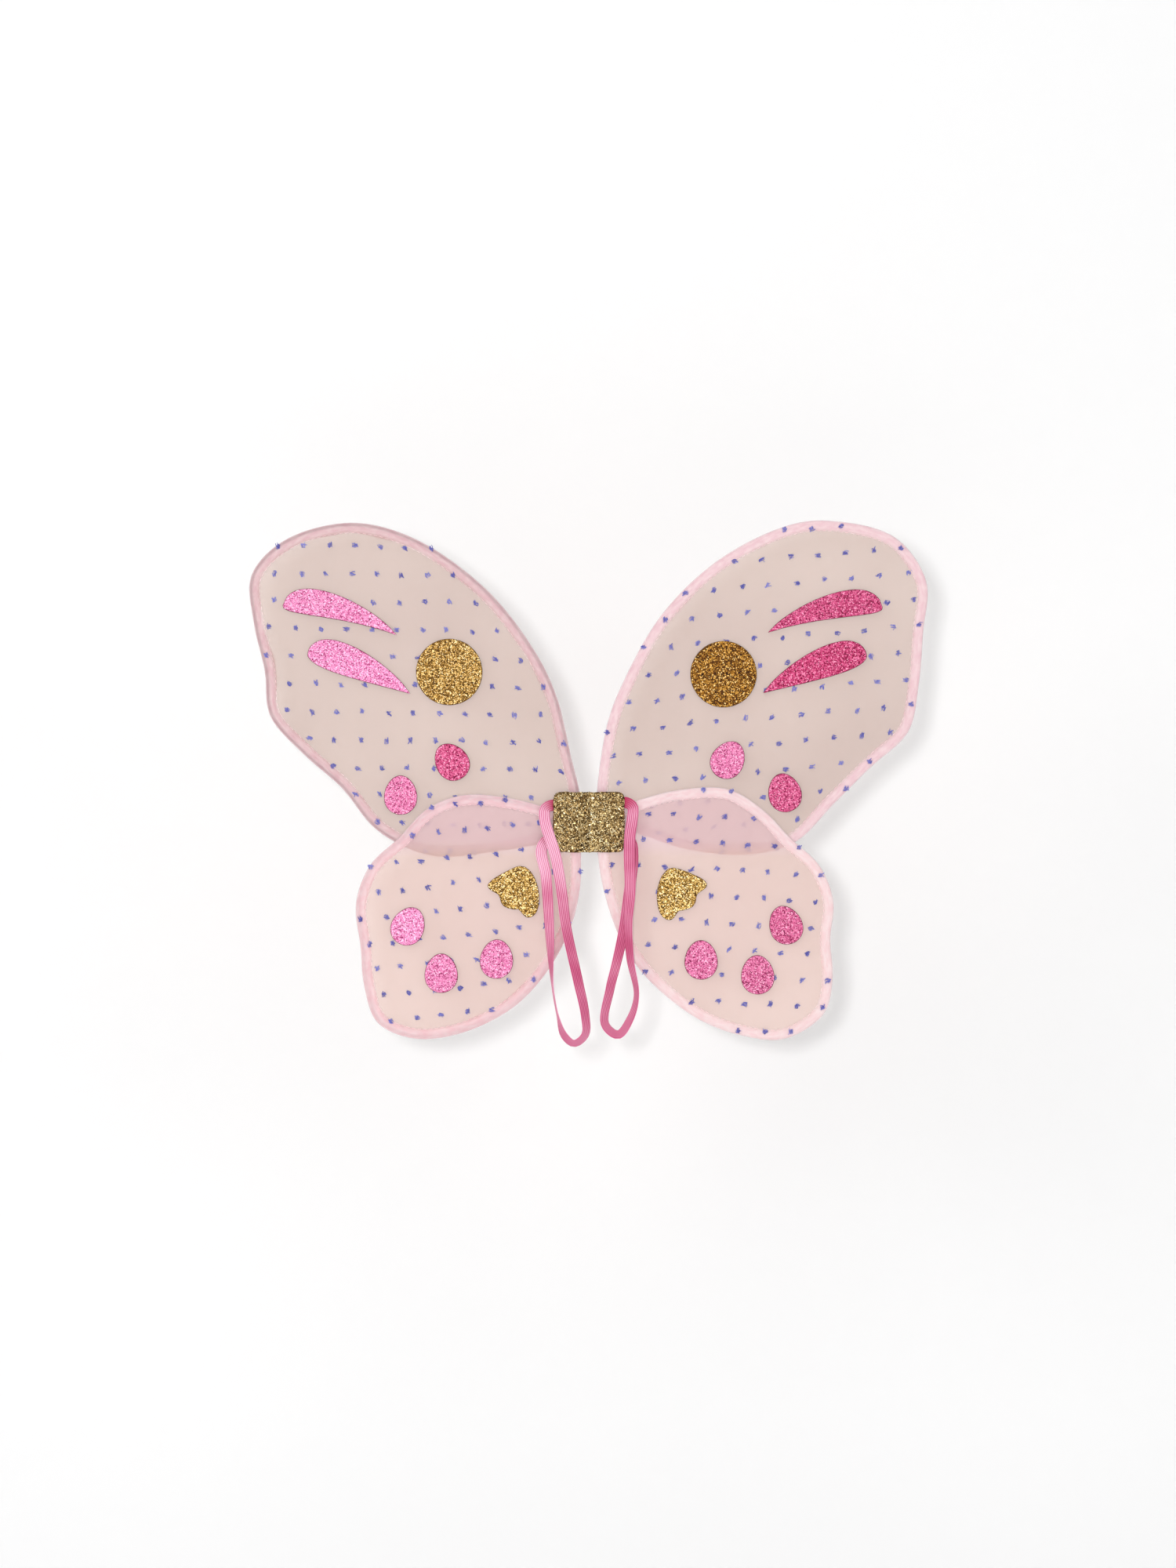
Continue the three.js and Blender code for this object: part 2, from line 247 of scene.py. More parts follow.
# An outline moved inwards by a distance, without the points that come too near another side.
def insetLoop(outline, distance):
    along = np.roll(outline, -1, axis=0) - np.roll(outline, 1, axis=0)
    along /= np.linalg.norm(along, axis=1)[:, None]
    moved = outline + distance * np.stack([-along[:, 1], along[:, 0]], axis=1)
    return moved[edgeRun(moved, outline)[0] > distance - 0.12 * mm]


def softStep(low, high, x):
    t = np.clip((x - low) / (high - low), 0, 1)
    return t * t * (3 - 2 * t)


# Smooth noise from -1 to 1 at x and z, with features of about that size.
def softNoise(x, z, size, seed=0.0):
    return np.array([noise.noise(Vector((a / size, seed, b / size))) for a, b in zip(x, z)])


# ---- materials ----

def newMaterial(name, **shaderValues):
    material = bpy.data.materials.new(name)
    material.use_nodes = True
    tree = material.node_tree
    shader = tree.nodes["Principled BSDF"]
    for label, value in shaderValues.items():
        shader.inputs[label.replace("_", " ")].default_value = value
    return material, tree, shader


def rgb(red, green, blue):
    shares = [c / 255 for c in (red, green, blue)]
    return tuple(c / 12.92 if c <= 10 / 255 else ((c + 0.055) / 1.055) ** 2.4 for c in shares) + (1,)


def ramp(tree, factor, stops, interpolation="LINEAR"):
    node = shaderNode(tree, "ValToRGB", {"Fac": factor})
    bar = node.color_ramp
    bar.interpolation = interpolation
    while len(bar.elements) < len(stops):
        bar.elements.new(1.0)
    for element, (place, colour) in zip(bar.elements, stops):
        element.position, element.color = place, colour
    return node


def mixColour(tree, factor, a, b, blend="MIX"):
    node = tree.nodes.new("ShaderNodeMix")
    node.data_type, node.blend_type = "RGBA", blend
    for socket, value in zip((node.inputs[0], node.inputs[6], node.inputs[7]), (factor, a, b)):
        if isinstance(value, bpy.types.Node):
            value = result(value)
        if isinstance(value, bpy.types.NodeSocket):
            tree.links.new(value, socket)
        else:
            socket.default_value = value
    return node.outputs[2]


def objectNoise(tree, scale, detail=2.0, place=None, name="Object"):
    place = place or result(shaderNode(tree, "TexCoord"), name)
    return result(shaderNode(tree, "TexNoise", {"Vector": place, "Scale": scale, "Detail": detail}), "Fac")


def bumpTo(tree, shader, height, strength, distance):
    bump = shaderNode(tree, "Bump", {"Height": height, "Strength": strength, "Distance": distance})
    tree.links.new(result(bump), shader.inputs["Normal"])


# Fine threads across and up, as a height: plain woven net.
def wovenHeight(tree, pitch):
    place = result(shaderNode(tree, "TexCoord"), "Object")
    scale = math.pi / 10 / pitch
    across = shaderNode(tree, "TexWave", {"Vector": place, "Scale": scale}, bands_direction="X")
    up = shaderNode(tree, "TexWave", {"Vector": place, "Scale": scale}, bands_direction="Z")
    return calc(tree, "MAXIMUM", result(across, "Fac"), result(up, "Fac"))


netLook = {
    "opacity": 0.46,
    "threadPitch": 0.55 * mm,
    "tones": {
        "upper": (rgb(215, 189, 176), rgb(203, 174, 161)),
        "lower": (rgb(236, 204, 193), rgb(225, 189, 178)),
    },
    "doubled": {"upper": (rgb(240, 200, 206), rgb(252, 228, 229)),
        "lower": (rgb(252, 221, 225), rgb(255, 243, 245))},
    "doubledEnd": (5.4 * mm, 8.2 * mm),
    "backed": rgb(240, 206, 214),  # where the lower wings lie over the upper ones
    "backedFrom": -25 * mm,
    "backedTo": -13 * mm,
    # Painted highlight: a pale line along the rolled edge.
    "rim": rgb(255, 240, 242),
    "rimHighlightWidth": 0.9 * mm,
}


def netMaterial(level):
    material, tree, shader = newMaterial(
        level + "Net", Alpha=netLook["opacity"], Roughness=0.62, Sheen_Weight=0.25, Sheen_Roughness=0.4,
        Specular_IOR_Level=0.3)
    threads = wovenHeight(tree, netLook["threadPitch"])
    cloud = objectNoise(tree, 9, 1)
    pale, deep = netLook["tones"][level]
    shade = mixColour(tree, ramp(tree, cloud, [(0.3, (0, 0, 0, 1)), (0.7, (1, 1, 1, 1))]), pale, deep)
    woven = mixColour(tree, calc(tree, "MULTIPLY", threads, 0.12), shade, rgb(255, 236, 230))
    if level == "lower":
        up = result(shaderNode(tree, "SeparateXYZ", {
            "Vector": result(shaderNode(tree, "TexCoord"), "Object")}), "Z")
        backed = remap(tree, up, netLook["backedFrom"], netLook["backedTo"], 0.0, 0.7)
        woven = mixColour(tree, backed, woven, netLook["backed"])
    edge = shaderNode(tree, "UVMap", uv_map="edgeRun")
    run = shaderNode(tree, "SeparateXYZ", {"Vector": edge})
    drawn = shaderNode(tree, "Mapping", {"Vector": edge, "Scale": (1 / (7 * mm), 1 / (2.2 * mm), 1)})
    pinker, paler = netLook["doubled"][level]
    mottled = ramp(tree, objectNoise(tree, 1.0, 3, result(drawn)), [(0.36, pinker), (0.66, paler)])
    nearEnd, farEnd = netLook["doubledEnd"]
    doubled = remap(tree, result(run, "Y"), nearEnd, farEnd, 0.85, 0.0)
    woven = mixColour(tree, doubled, woven, mottled)
    # Painted highlight along the rolled edge.
    rim = remap(tree, result(run, "Y"), 0.0, netLook["rimHighlightWidth"], 1.0, 0.0)
    tree.links.new(mixColour(tree, rim, woven, netLook["rim"]), shader.inputs["Base Color"])
    bumpTo(tree, shader, threads, 0.15, 0.05 * mm)
    return material


hemLook = {
    "opacity": 0.88,
    "deep": rgb(226, 140, 164),
    "middle": rgb(241, 180, 194),
    "pale": rgb(250, 208, 216),
    "streakLength": 14 * mm,
    "streakWidth": 1.6 * mm,
    # Painted light and shade per wing: each hem is washed towards a tone that stands for how the light falls
    # on it, greyer on the upper left and paler on the right.
    "paintedSideShading": {
        "upper_left": (0.4, rgb(190, 188, 184)),
        "lower_left": (0.3, rgb(248, 220, 216)),
        "upper_right": (0.65, rgb(255, 245, 251)),
        "lower_right": (0.7, rgb(255, 242, 238)),
    },
    "wireShadeLine": rgb(112, 58, 74),  # painted shade: a dark line painted into the cloth where the wire runs, for the wire and its shade seen through it
    # Painted shade: only the two left wings get the dark wire line.
    "wireShadeLineShare": {"upper_left": 0.92, "lower_left": 0.34, "upper_right": 0.0, "lower_right": 0.0},
    "wireShadeLineFrom": {"upper": 1.7 * mm, "lower": 2.4 * mm},
    "wireShadeLineHalf": 1.6 * mm,
}


def hemMaterial(wing):
    material, tree, shader = newMaterial(
        wing + "Hem", Alpha=hemLook["opacity"], Roughness=0.55, Sheen_Weight=0.3, Sheen_Roughness=0.35,
        Specular_IOR_Level=0.3)
    run = shaderNode(tree, "UVMap", uv_map="edgeRun")
    drawn = shaderNode(tree, "Mapping", {
        "Vector": run, "Scale": (1 / hemLook["streakLength"], 1 / hemLook["streakWidth"], 1)})
    streaks = objectNoise(tree, 1.0, 3, result(drawn))
    colour = ramp(tree, streaks, [(0.32, hemLook["deep"]), (0.5, hemLook["middle"]), (0.68, hemLook["pale"])])
    # Painted light and shade: the wing's wash.
    share, paintedSideShading = hemLook["paintedSideShading"][wing]
    colour = mixColour(tree, share, colour, paintedSideShading)
    inward = result(shaderNode(tree, "SeparateXYZ", {"Vector": run}), "Y")
    # Painted shade: a dark line painted along the wire, on the left wings only.
    offWireShadeLine = calc(tree, "ABSOLUTE",
        calc(tree, "SUBTRACT", inward, hemLook["wireShadeLineFrom"][wing.split("_")[0]]))
    line = remap(tree, offWireShadeLine, 0.0, hemLook["wireShadeLineHalf"], hemLook["wireShadeLineShare"][wing], 0.0)
    tree.links.new(mixColour(tree, line, colour, hemLook["wireShadeLine"]), shader.inputs["Base Color"])
    bumpTo(tree, shader, streaks, 0.5, 0.4 * mm)
    return material


def threadMaterial(name, deep, pale, roughness=0.75):
    material, tree, shader = newMaterial(name, Roughness=roughness, Sheen_Weight=0.4, Specular_IOR_Level=0.2)
    shade = shaderNode(tree, "Attribute", attribute_name="threadShade")
    fibres = objectNoise(tree, 2500, 2)
    both = calc(tree, "ADD", calc(tree, "MULTIPLY", result(shade, "Fac"), 0.75),
        calc(tree, "MULTIPLY", fibres, 0.25))
    tree.links.new(result(ramp(tree, both, [(0.1, deep), (0.9, pale)])), shader.inputs["Base Color"])
    bumpTo(tree, shader, fibres, 0.4, 0.1 * mm)
    return material


def steelMaterial():
    material, tree, shader = newMaterial("bentSteel", Metallic=0.9)
    grain = objectNoise(tree, 900, 4)
    colour = ramp(tree, grain, [(0.3, rgb(104, 98, 106)), (0.7, rgb(160, 152, 158))])
    tree.links.new(result(colour), shader.inputs["Base Color"])
    rough = shaderNode(tree, "MapRange", {"Value": grain, "To Min": 0.28, "To Max": 0.5})
    tree.links.new(result(rough), shader.inputs["Roughness"])
    bumpTo(tree, shader, grain, 0.15, 0.1 * mm)
    return material


# The deep and light ranges are the same glitter painted in shade and in light, and their near-white top stops
# are painted glints.
glitterTones = {
    "gold": {
        "light": [(0.0, rgb(60, 38, 10)), (0.28, rgb(128, 90, 32)), (0.58, rgb(200, 158, 80)),
            (0.85, rgb(246, 216, 144)),
                  (1.0, rgb(255, 246, 206))],
        "deep": [(0.0, rgb(30, 14, 2)), (0.3, rgb(88, 48, 6)), (0.62, rgb(150, 98, 24)),
            (0.9, rgb(216, 164, 74)),
                 (1.0, rgb(250, 220, 150))],
        "cut": (rgb(76, 50, 20), rgb(118, 86, 38)),
    },
    "sheet": {
        "light": [(0.0, rgb(60, 42, 18)), (0.3, rgb(140, 108, 60)), (0.6, rgb(212, 180, 118)),
            (0.85, rgb(252, 232, 178)),
                  (1.0, rgb(255, 254, 230))],
        "deep": [(0.0, rgb(10, 5, 1)), (0.35, rgb(44, 26, 8)), (0.62, rgb(128, 90, 42)),
            (0.88, rgb(218, 180, 112)),
                 (1.0, rgb(255, 240, 190))],
        "cut": (rgb(76, 50, 20), rgb(118, 86, 38)),
    },
    "pink": {
        "light": [(0.0, rgb(130, 30, 80)), (0.1, rgb(190, 86, 137)), (0.3, rgb(222, 131, 178)),
            (0.75, rgb(232, 157, 198)),
                  (1.0, rgb(250, 212, 232))],
        "deep": [(0.0, rgb(86, 5, 34)), (0.12, rgb(148, 27, 70)), (0.35, rgb(189, 58, 106)),
            (0.78, rgb(210, 90, 136)),
                 (1.0, rgb(242, 160, 192))],
        "cut": (rgb(88, 14, 38), rgb(132, 36, 72)),
    },
}


# A grain's colour: by its own shade, between the deep and the light range by the piece's tone. The brightest
# shades are painted glints, and the piece's tone is partly painted reflection.
def glitterColour(tree, kind, shade):
    toneAndGlint = result(shaderNode(tree, "Attribute", attribute_name="toneAndGlint"), "Fac")
    deep, light = (ramp(tree, shade, glitterTones[kind][range_]) for range_ in ("deep", "light"))
    return mixColour(tree, toneAndGlint, deep, light)


# Loose flakes: each has its own shade, whose brightest values are painted glints, and the whole piece its own
# tone.
def flakeMaterial(kind):
    material, tree, shader = newMaterial(kind + "Flakes", Metallic=0.85, Specular_IOR_Level=0.15)
    shade = result(shaderNode(tree, "Attribute", attribute_name="flakeShadeAndGlint"), "Fac")
    tree.links.new(glitterColour(tree, kind, shade), shader.inputs["Base Color"])
    rough = shaderNode(tree, "MapRange", {"Value": shade, "To Min": 0.5, "To Max": 0.26})
    tree.links.new(result(rough), shader.inputs["Roughness"])
    return material


# The coat under the flakes: packed grains, each a cell with its own colour and tilt; the brightest cells are
# painted glints.
def coatMaterial(kind):
    material, tree, shader = newMaterial(kind + "Coat", Metallic=0.5, Roughness=0.5, Specular_IOR_Level=0.2)
    place = result(shaderNode(tree, "TexCoord"), "Object")
    cells = shaderNode(tree, "TexVoronoi", {"Vector": place, "Scale": 1500})
    split = shaderNode(tree, "SeparateColor", {"Color": result(cells, "Color")})
    shade = calc(tree, "POWER", result(split, "Red"), 1.35)
    tree.links.new(glitterColour(tree, kind, shade), shader.inputs["Base Color"])
    bumpTo(tree, shader, result(split, "Green"), 0.6, 0.3 * mm)
    return material


def cutMaterial(kind):
    material, tree, shader = newMaterial(kind + "CutEdge", Roughness=0.85)
    grain = objectNoise(tree, 1400, 3)
    deep, pale = glitterTones[kind]["cut"]
    tree.links.new(result(ramp(tree, grain, [(0.35, deep), (0.65, pale)])), shader.inputs["Base Color"])
    bumpTo(tree, shader, grain, 0.5, 0.2 * mm)
    return material


elasticLook = {
    # Painted shade: each strap is painted deeper red up to where it comes out from under the patch, fading
    # out 22 mm from each end.
    "pocket": rgb(178, 26, 78),
    "pocketRun": (13 * mm, 22 * mm),
    "deep": rgb(176, 48, 98),
    "middle": rgb(210, 92, 136),
    "pale": rgb(246, 190, 214),
    "ribs": 6,
    "litStrapTop": {"left": 0.34, "right": 0.0},  # painted light: how much paler each strap's top is painted, where the light falls on it
    "litStrapTopFrom": -75 * mm,
    "litStrapTopTo": -25 * mm,
}


def elasticMaterial():
    material, tree, shader = newMaterial("ribbedElastic", Roughness=0.7, Sheen_Weight=0.35,
        Sheen_Roughness=0.4)
    across = result(shaderNode(tree, "Attribute", attribute_name="across"), "Fac")
    along = result(shaderNode(tree, "Attribute", attribute_name="along"), "Fac")
    turns = calc(tree, "MULTIPLY", across, math.pi * elasticLook["ribs"])
    rib = calc(tree, "POWER", calc(tree, "MULTIPLY_ADD", calc(tree, "COSINE", turns), 0.5, 0.5), 0.7)
    blotch = objectNoise(tree, 45, 1)
    fibres = objectNoise(tree, 1800, 3)
    # Painted light: the left strap's top painted paler.
    litStrapTop = result(shaderNode(tree, "Attribute", attribute_name="litStrapTop"), "Fac")
    # Painted light and shade: the rib crests are painted paler and the grooves deeper.
    share = calc(tree, "ADD", litStrapTop, calc(tree, "MULTIPLY_ADD", rib, 0.5, calc(
        tree, "MULTIPLY_ADD", blotch, 0.5, calc(tree, "MULTIPLY", fibres, 0.08))))
    colour = ramp(tree, share,
        [(0.25, elasticLook["deep"]), (0.62, elasticLook["middle"]), (1.0, elasticLook["pale"])])
    # Painted shade near each end, where the strap comes out from under the patch.
    fromEnd = calc(tree, "MINIMUM", along, calc(tree, "SUBTRACT", result(addNode(
        tree, "ShaderNodeAttribute", attribute_name="whole"), "Fac"), along))
    start, end = elasticLook["pocketRun"]
    inside = remap(tree, fromEnd, start, end, 1.0, 0.0)
    tree.links.new(mixColour(tree, inside, colour, elasticLook["pocket"]), shader.inputs["Base Color"])
    bumpTo(tree, shader, calc(tree, "ADD", rib, calc(tree, "MULTIPLY", fibres, 0.3)), 0.4, 0.15 * mm)
    return material


nets = {level: netMaterial(level) for level in netLook["tones"]}
hemCloths = {wing: hemMaterial(wing) for wing in hemLook["paintedSideShading"]}
tuftThread = threadMaterial("periwinkleThread", rgb(70, 66, 160), rgb(148, 148, 220))
stitchThread = threadMaterial("paleThread", rgb(232, 190, 198), rgb(246, 220, 224), 0.6)
steel = steelMaterial()
flakes = {kind: flakeMaterial(kind) for kind in glitterTones}
coats = {kind: coatMaterial(kind) for kind in glitterTones}
cutEdges = {kind: cutMaterial(kind) for kind in glitterTones}
elastic = elasticMaterial()
print("materials made")


# ---- camera ----

cameraSizes = {"lens": 85, "sensor": 36, "place": (-0.0006, -2.645, 0.0272)}


def makeCamera():
    camera = bpy.data.objects.new("camera", bpy.data.cameras.new("camera"))
    camera.data.lens, camera.data.sensor_width = cameraSizes["lens"], cameraSizes["sensor"]
    camera.location = cameraSizes["place"]
    camera.rotation_euler = (math.pi / 2, 0, 0)
    scene.collection.objects.link(camera)
    scene.camera = camera


makeCamera()
print("camera set")


# ---- straps ----

# Each route runs out from the patch's side edge, forwards from the pocket and up, in millimetres, with the
# elastic's turn from flat to the front in degrees.
strapSizes = {
    "width": 8 * mm,
    "thickness": 0.8 * mm,
    "ribDepth": 0.2,
    "steps": 150,
    "pocketY": -3.375 * mm,
    "routes": {
        "left": [
            (-13, 0, 12, 0), (-5, 0, 12, 0), (1, 0.2, 12, 0), (5.6, 1.8, 9.5, 0), (5.8, 3.6, 1, 0),
            (3, 4.6, -9, 0), (-1.5, 5, -23, 8), (-5.8, 5.4, -47, 16), (-9.3, 6, -74, 26),
            (-17.8, 6.6, -113, 30), (-22.8, 6.8, -137, 40), (-22.9, 6.6, -151.2, 46),
            (-15, 6.2, -157.5, 48), (-7.9, 6, -151.8, 50), (-3.4, 5.8, -138, 79), (0.3, 5.6, -117, 81),
            (2.6, 5, -74, 32), (5.2, 3.8, -37, 12), (8.4, 1.8, -20, 0), (4.8, 0.5, -13.2, 0),
            (0.5, 0, -12, 0), (-5, 0, -12, 0), (-13, 0, -12, 0),
        ],
        "right": [
            (-13, 0, 14, 0), (-5, 0, 14, 0), (1, 0.2, 14, 0), (5.6, 1.8, 11, 0), (5.4, 4.6, 2, 0),
            (3.8, 6.6, -9, 0), (3.3, 7.8, -23, 0), (3.9, 9, -47, 12), (2.5, 9.4, -71, 40),
            (3.9, 9, -97, 50), (8.4, 8, -123, 64), (3.9, 7.2, -140, 52), (-4.6, 7, -151.3, 44),
            (-14, 6.6, -144, 43), (-10.5, 6.2, -119, 36), (-6, 5.4, -101, 31), (-1, 4.2, -79, 20),
            (3, 3.4, -52, 8), (5.8, 2.4, -26, 0), (4.6, 0.9, -14.6, 0), (0.5, 0, -12, 0), (-5, 0, -12, 0),
            (-13, 0, -12, 0),
        ],
    },
}


# A smooth curve through points, evenly spaced, with any further columns carried along.
def throughPoints(points, steps, places=3, finer=14):
    points = np.array(points, float)
    ends = np.vstack([2 * points[0] - points[1], points, 2 * points[-1] - points[-2]])
    fine = []
    for a, b, c, d in zip(ends, ends[1:], ends[2:], ends[3:]):
        gaps = [max(np.linalg.norm((q - p)[:places]), 1e-9) ** 0.5 for p, q in ((a, b), (b, c), (c, d))]
        knots = np.cumsum([0] + gaps)
        for t in knots[1] + (knots[2] - knots[1]) * np.arange(finer) / finer:
            ab, bc, cd = ((p * (k2 - t) + q * (t - k1)) / (k2 - k1)
                          for p, q, k1, k2 in ((a, b, *knots[:2]), (b, c, *knots[1:3]), (c, d, *knots[2:])))
            abc = (ab * (knots[2] - t) + bc * (t - knots[0])) / (knots[2] - knots[0])
            bcd = (bc * (knots[3] - t) + cd * (t - knots[1])) / (knots[3] - knots[1])
            fine.append((abc * (knots[2] - t) + bcd * (t - knots[1])) / (knots[2] - knots[1]))
    fine = np.array(fine + [points[-1]])
    run = np.concatenate([[0], np.cumsum(np.linalg.norm(np.diff(fine[:, :places], axis=0), axis=1))])
    even = np.linspace(0, run[-1], steps + 1)
    return np.stack([np.interp(even, run, column) for column in fine.T], axis=1), run[-1]


# Carries a ribbed band along a line whose points say which way is across it.
def ribbonTree():
    tree, given = newTree("ribbedElastic", {
        "Width": "Float", "Thickness": "Float", "Ribs": "Float", "Rib Depth": "Float",
        "Profile Points": "Int",
        "Material": "Material"})
    line = geoNode(tree, "MeshToCurve", {"Mesh": given["Geometry"]})
    acrossWay = geoNode(tree, "InputNamedAttribute", {"Name": "acrossWay"}, data_type="FLOAT_VECTOR")
    turned = geoNode(tree, "SetCurveNormal", {"Curve": line, "Normal": acrossWay}, mode="FREE")
    run = result(geoNode(tree, "SplineParameter"), "Length")
    measured = geoNode(tree, "StoreNamedAttribute", {"Geometry": turned, "Name": "along", "Value": run})

    loop = geoNode(tree, "CurvePrimitiveCircle", {"Resolution": given["Profile Points"]})
    share = calc(tree, "DIVIDE", geoNode(tree, "InputIndex"), given["Profile Points"])
    folded = calc(tree, "ABSOLUTE", calc(tree, "SUBTRACT", share, 0.5))
    place = calc(tree, "MULTIPLY_ADD", folded, -4.0, 1.0)
    outside = calc(tree, "MULTIPLY_ADD", calc(tree, "LESS_THAN", share, 0.5), 2.0, -1.0)
    rounding = calc(tree, "SQRT",
        calc(tree, "SUBTRACT", 1.0, calc(tree, "POWER", calc(tree, "ABSOLUTE", place), 10.0)))
    ribs = calc(tree, "COSINE", calc(tree, "MULTIPLY", calc(tree, "MULTIPLY", place, given["Ribs"]), math.pi))
    swell = calc(tree, "MULTIPLY_ADD", ribs, given["Rib Depth"], 1.0)
    half = calc(tree, "MULTIPLY", calc(tree, "MULTIPLY", outside, rounding),
        calc(tree, "MULTIPLY", given["Thickness"], 0.5))
    section = xyz(tree, calc(tree, "MULTIPLY", place, calc(tree, "MULTIPLY", given["Width"], 0.5)),
                  calc(tree, "MULTIPLY", half, swell))
    shaped = geoNode(tree, "SetPosition", {"Geometry": loop, "Position": section})
    named = geoNode(tree, "StoreNamedAttribute", {"Geometry": shaped, "Name": "across", "Value": place})
    band = geoNode(tree, "CurveToMesh", {"Curve": measured, "Profile Curve": named, "Fill Caps": True})
    endTree(tree, band, given["Material"])
    return tree


elasticTree = ribbonTree()


def makeStrap(side):
    sign = sides[side]
    edgeX = abs(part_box(f"front_patch_{side}")[0 if sign < 0 else 1][0])
    route = [(sign * (edgeX + out * mm), strapSizes["pocketY"] - forward * mm, up * mm,
        sign * math.radians(twist))
             for out, forward, up, twist in strapSizes["routes"][side]]
    line, length = throughPoints(route, strapSizes["steps"])
    path, twists = line[:, :3], line[:, 3]
    acrossWays = []
    for i, twist in enumerate(twists):
        along = Vector(path[min(i + 1, len(path) - 1)] - path[max(i - 1, 0)]).normalized()
        face = Vector((0, -1, 0))
        face = (face - face.dot(along) * along).normalized()
        face = (math.cos(twist) * face + math.sin(twist) * along.cross(face)).normalized()
        acrossWays.append(face.cross(along))
    strap = addLine(f"strap_{side}_elastic", path)
    ways = strap.data.attributes.new("acrossWay", "FLOAT_VECTOR", "POINT")
    ways.data.foreach_set("vector", np.array(acrossWays, np.float32).ravel())
    runTree(strap, elasticTree, {
        "Width": strapSizes["width"], "Thickness": strapSizes["thickness"], "Ribs": elasticLook["ribs"],
        "Rib Depth": strapSizes["ribDepth"], "Profile Points": 96, "Material": elastic})
    setPointValue(strap, "whole", length)
    heights = np.array([v.co[2] for v in strap.data.vertices])
    # Painted light: paler towards the top of the left strap.
    litStrapTop = elasticLook["litStrapTop"][side] * softStep(elasticLook["litStrapTopFrom"], elasticLook["litStrapTopTo"], heights)
    setPointValue(strap, "litStrapTop", litStrapTop)
    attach(strap, f"{side}_half")
    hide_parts(f"strap_{side}")


for side in sides:
    makeStrap(side)
print("straps made")


# ---- wings ----

wingSizes = {
    "edgeStep": 1.3 * mm,
    "rimRadius": 1.15 * mm,
    "hemWidth": 7.4 * mm,
    "slack": 0.75 * mm,  # how far the net between the wires lies from the wire's middle
    "wireRadius": 0.6 * mm,
    "puckerPitch": 4.1 * mm,
    "pucker": 0.11 * mm,
    "gridStep": 7 * mm,
}

wireDepths = {
    level: np.mean([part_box(f"{level}_left_wire")[i][1] for i in (0, 1)]) for level in ("upper", "lower")
}


# A layer of net: rolled over the wire at its edge, padded over the hem, taut between.
def makeNet(name, outline, wireY, outward, seed, fine):
    radius, hem = wingSizes["rimRadius"], wingSizes["hemWidth"]
    rings = [0.12, 0.45, 0.8, 1.15, 1.9, 3, 4.2, 5.4, 6.3, 7, 7.4, 7.8, 8.4, 9.4, 12, 16] if fine else [
        0.12, 0.45, 0.8, 1.15, 3, 5, 6.5, 7.4, 8.4, 12]
    spots = [outline] + [insetLoop(outline, ring * mm) for ring in rings]
    low, high = outline.min(axis=0), outline.max(axis=0)
    grid = np.stack(np.meshgrid(*(np.arange(a, b, wingSizes["gridStep"]) for a, b in zip(low, high))),
        axis=-1).reshape(-1, 2)
    grid = grid[insideOf(grid, outline)]
    spots.append(grid[edgeRun(grid, outline)[0] > (rings[-1] + 3) * mm])
    every = np.vstack(spots)
    flat, _, faces, *_ = delaunay_2d_cdt(
        [Vector(p) for p in every], [], [list(range(len(outline)))], 1, 1e-7)
    flat = np.array([p[:] for p in flat])
    far, run = edgeRun(flat, outline)
    far[far < 1e-5] = 0
    roll = np.sqrt(np.maximum(radius**2 - np.maximum(radius - far, 0) ** 2, 0))
    taut = softStep(hem - 0.6 * mm, hem + 1.6 * mm, far) * (radius - wingSizes["slack"])
    nearSeam = np.exp(-(((far - hem) / (1.3 * mm)) ** 2))
    pucker = wingSizes["pucker"] * nearSeam * np.cos(2 * math.pi * run / wingSizes["puckerPitch"])
    inBand = softStep(radius, 2.4 * mm, far) * (1 - softStep(hem, hem + 2 * mm, far))
    creases = 0.14 * mm * inBand * softNoise(run, far, 5 * mm, seed)
    sway = 0.1 * mm * softNoise(flat[:, 0], flat[:, 1], 45 * mm, seed + 3) * softStep(hem, 25 * mm, far)
    y = wireY + outward * (roll - taut - np.abs(creases) - pucker * (fine * 1.0) - np.abs(pucker) + sway)
    points = np.stack([flat[:, 0], y, flat[:, 1]], axis=1)
    turned = [list(f)[::-1] if outward > 0 else list(f) for f in faces]
    piece = addPiece(name, points, turned, [nets[name.split("_")[0]]])
    writeRun(piece, run, far)
    return piece


def insideOf(spots, outline):
    following = np.roll(outline, -1, axis=0)
    inside = np.zeros(len(spots), bool)
    for (x0, z0), (x1, z1) in zip(outline, following):
        crosses = (z0 > spots[:, 1]) != (z1 > spots[:, 1])
        with np.errstate(divide="ignore", invalid="ignore"):
            inside ^= crosses & (spots[:, 0] < x0 + (spots[:, 1] - z0) * (x1 - x0) / (z1 - z0))
    return inside


# The way round the edge and in from it, as a UV map that the cloth patterns follow.
def writeRun(piece, run, far):
    layer = piece.data.uv_layers.new(name="edgeRun")
    corners = np.empty(len(piece.data.loops), np.int32)
    piece.data.loops.foreach_get("vertex_index", corners)
    layer.data.foreach_set("uv", np.stack([run[corners], far[corners]], axis=1).astype(np.float32).ravel())


# How far the hem's inner edge strays, over what length, in mm, and the noise's own lane.
hemWander = [(1.9, 34, 9), (0.6, 12, 0), (0.3, 3.5, 5)]


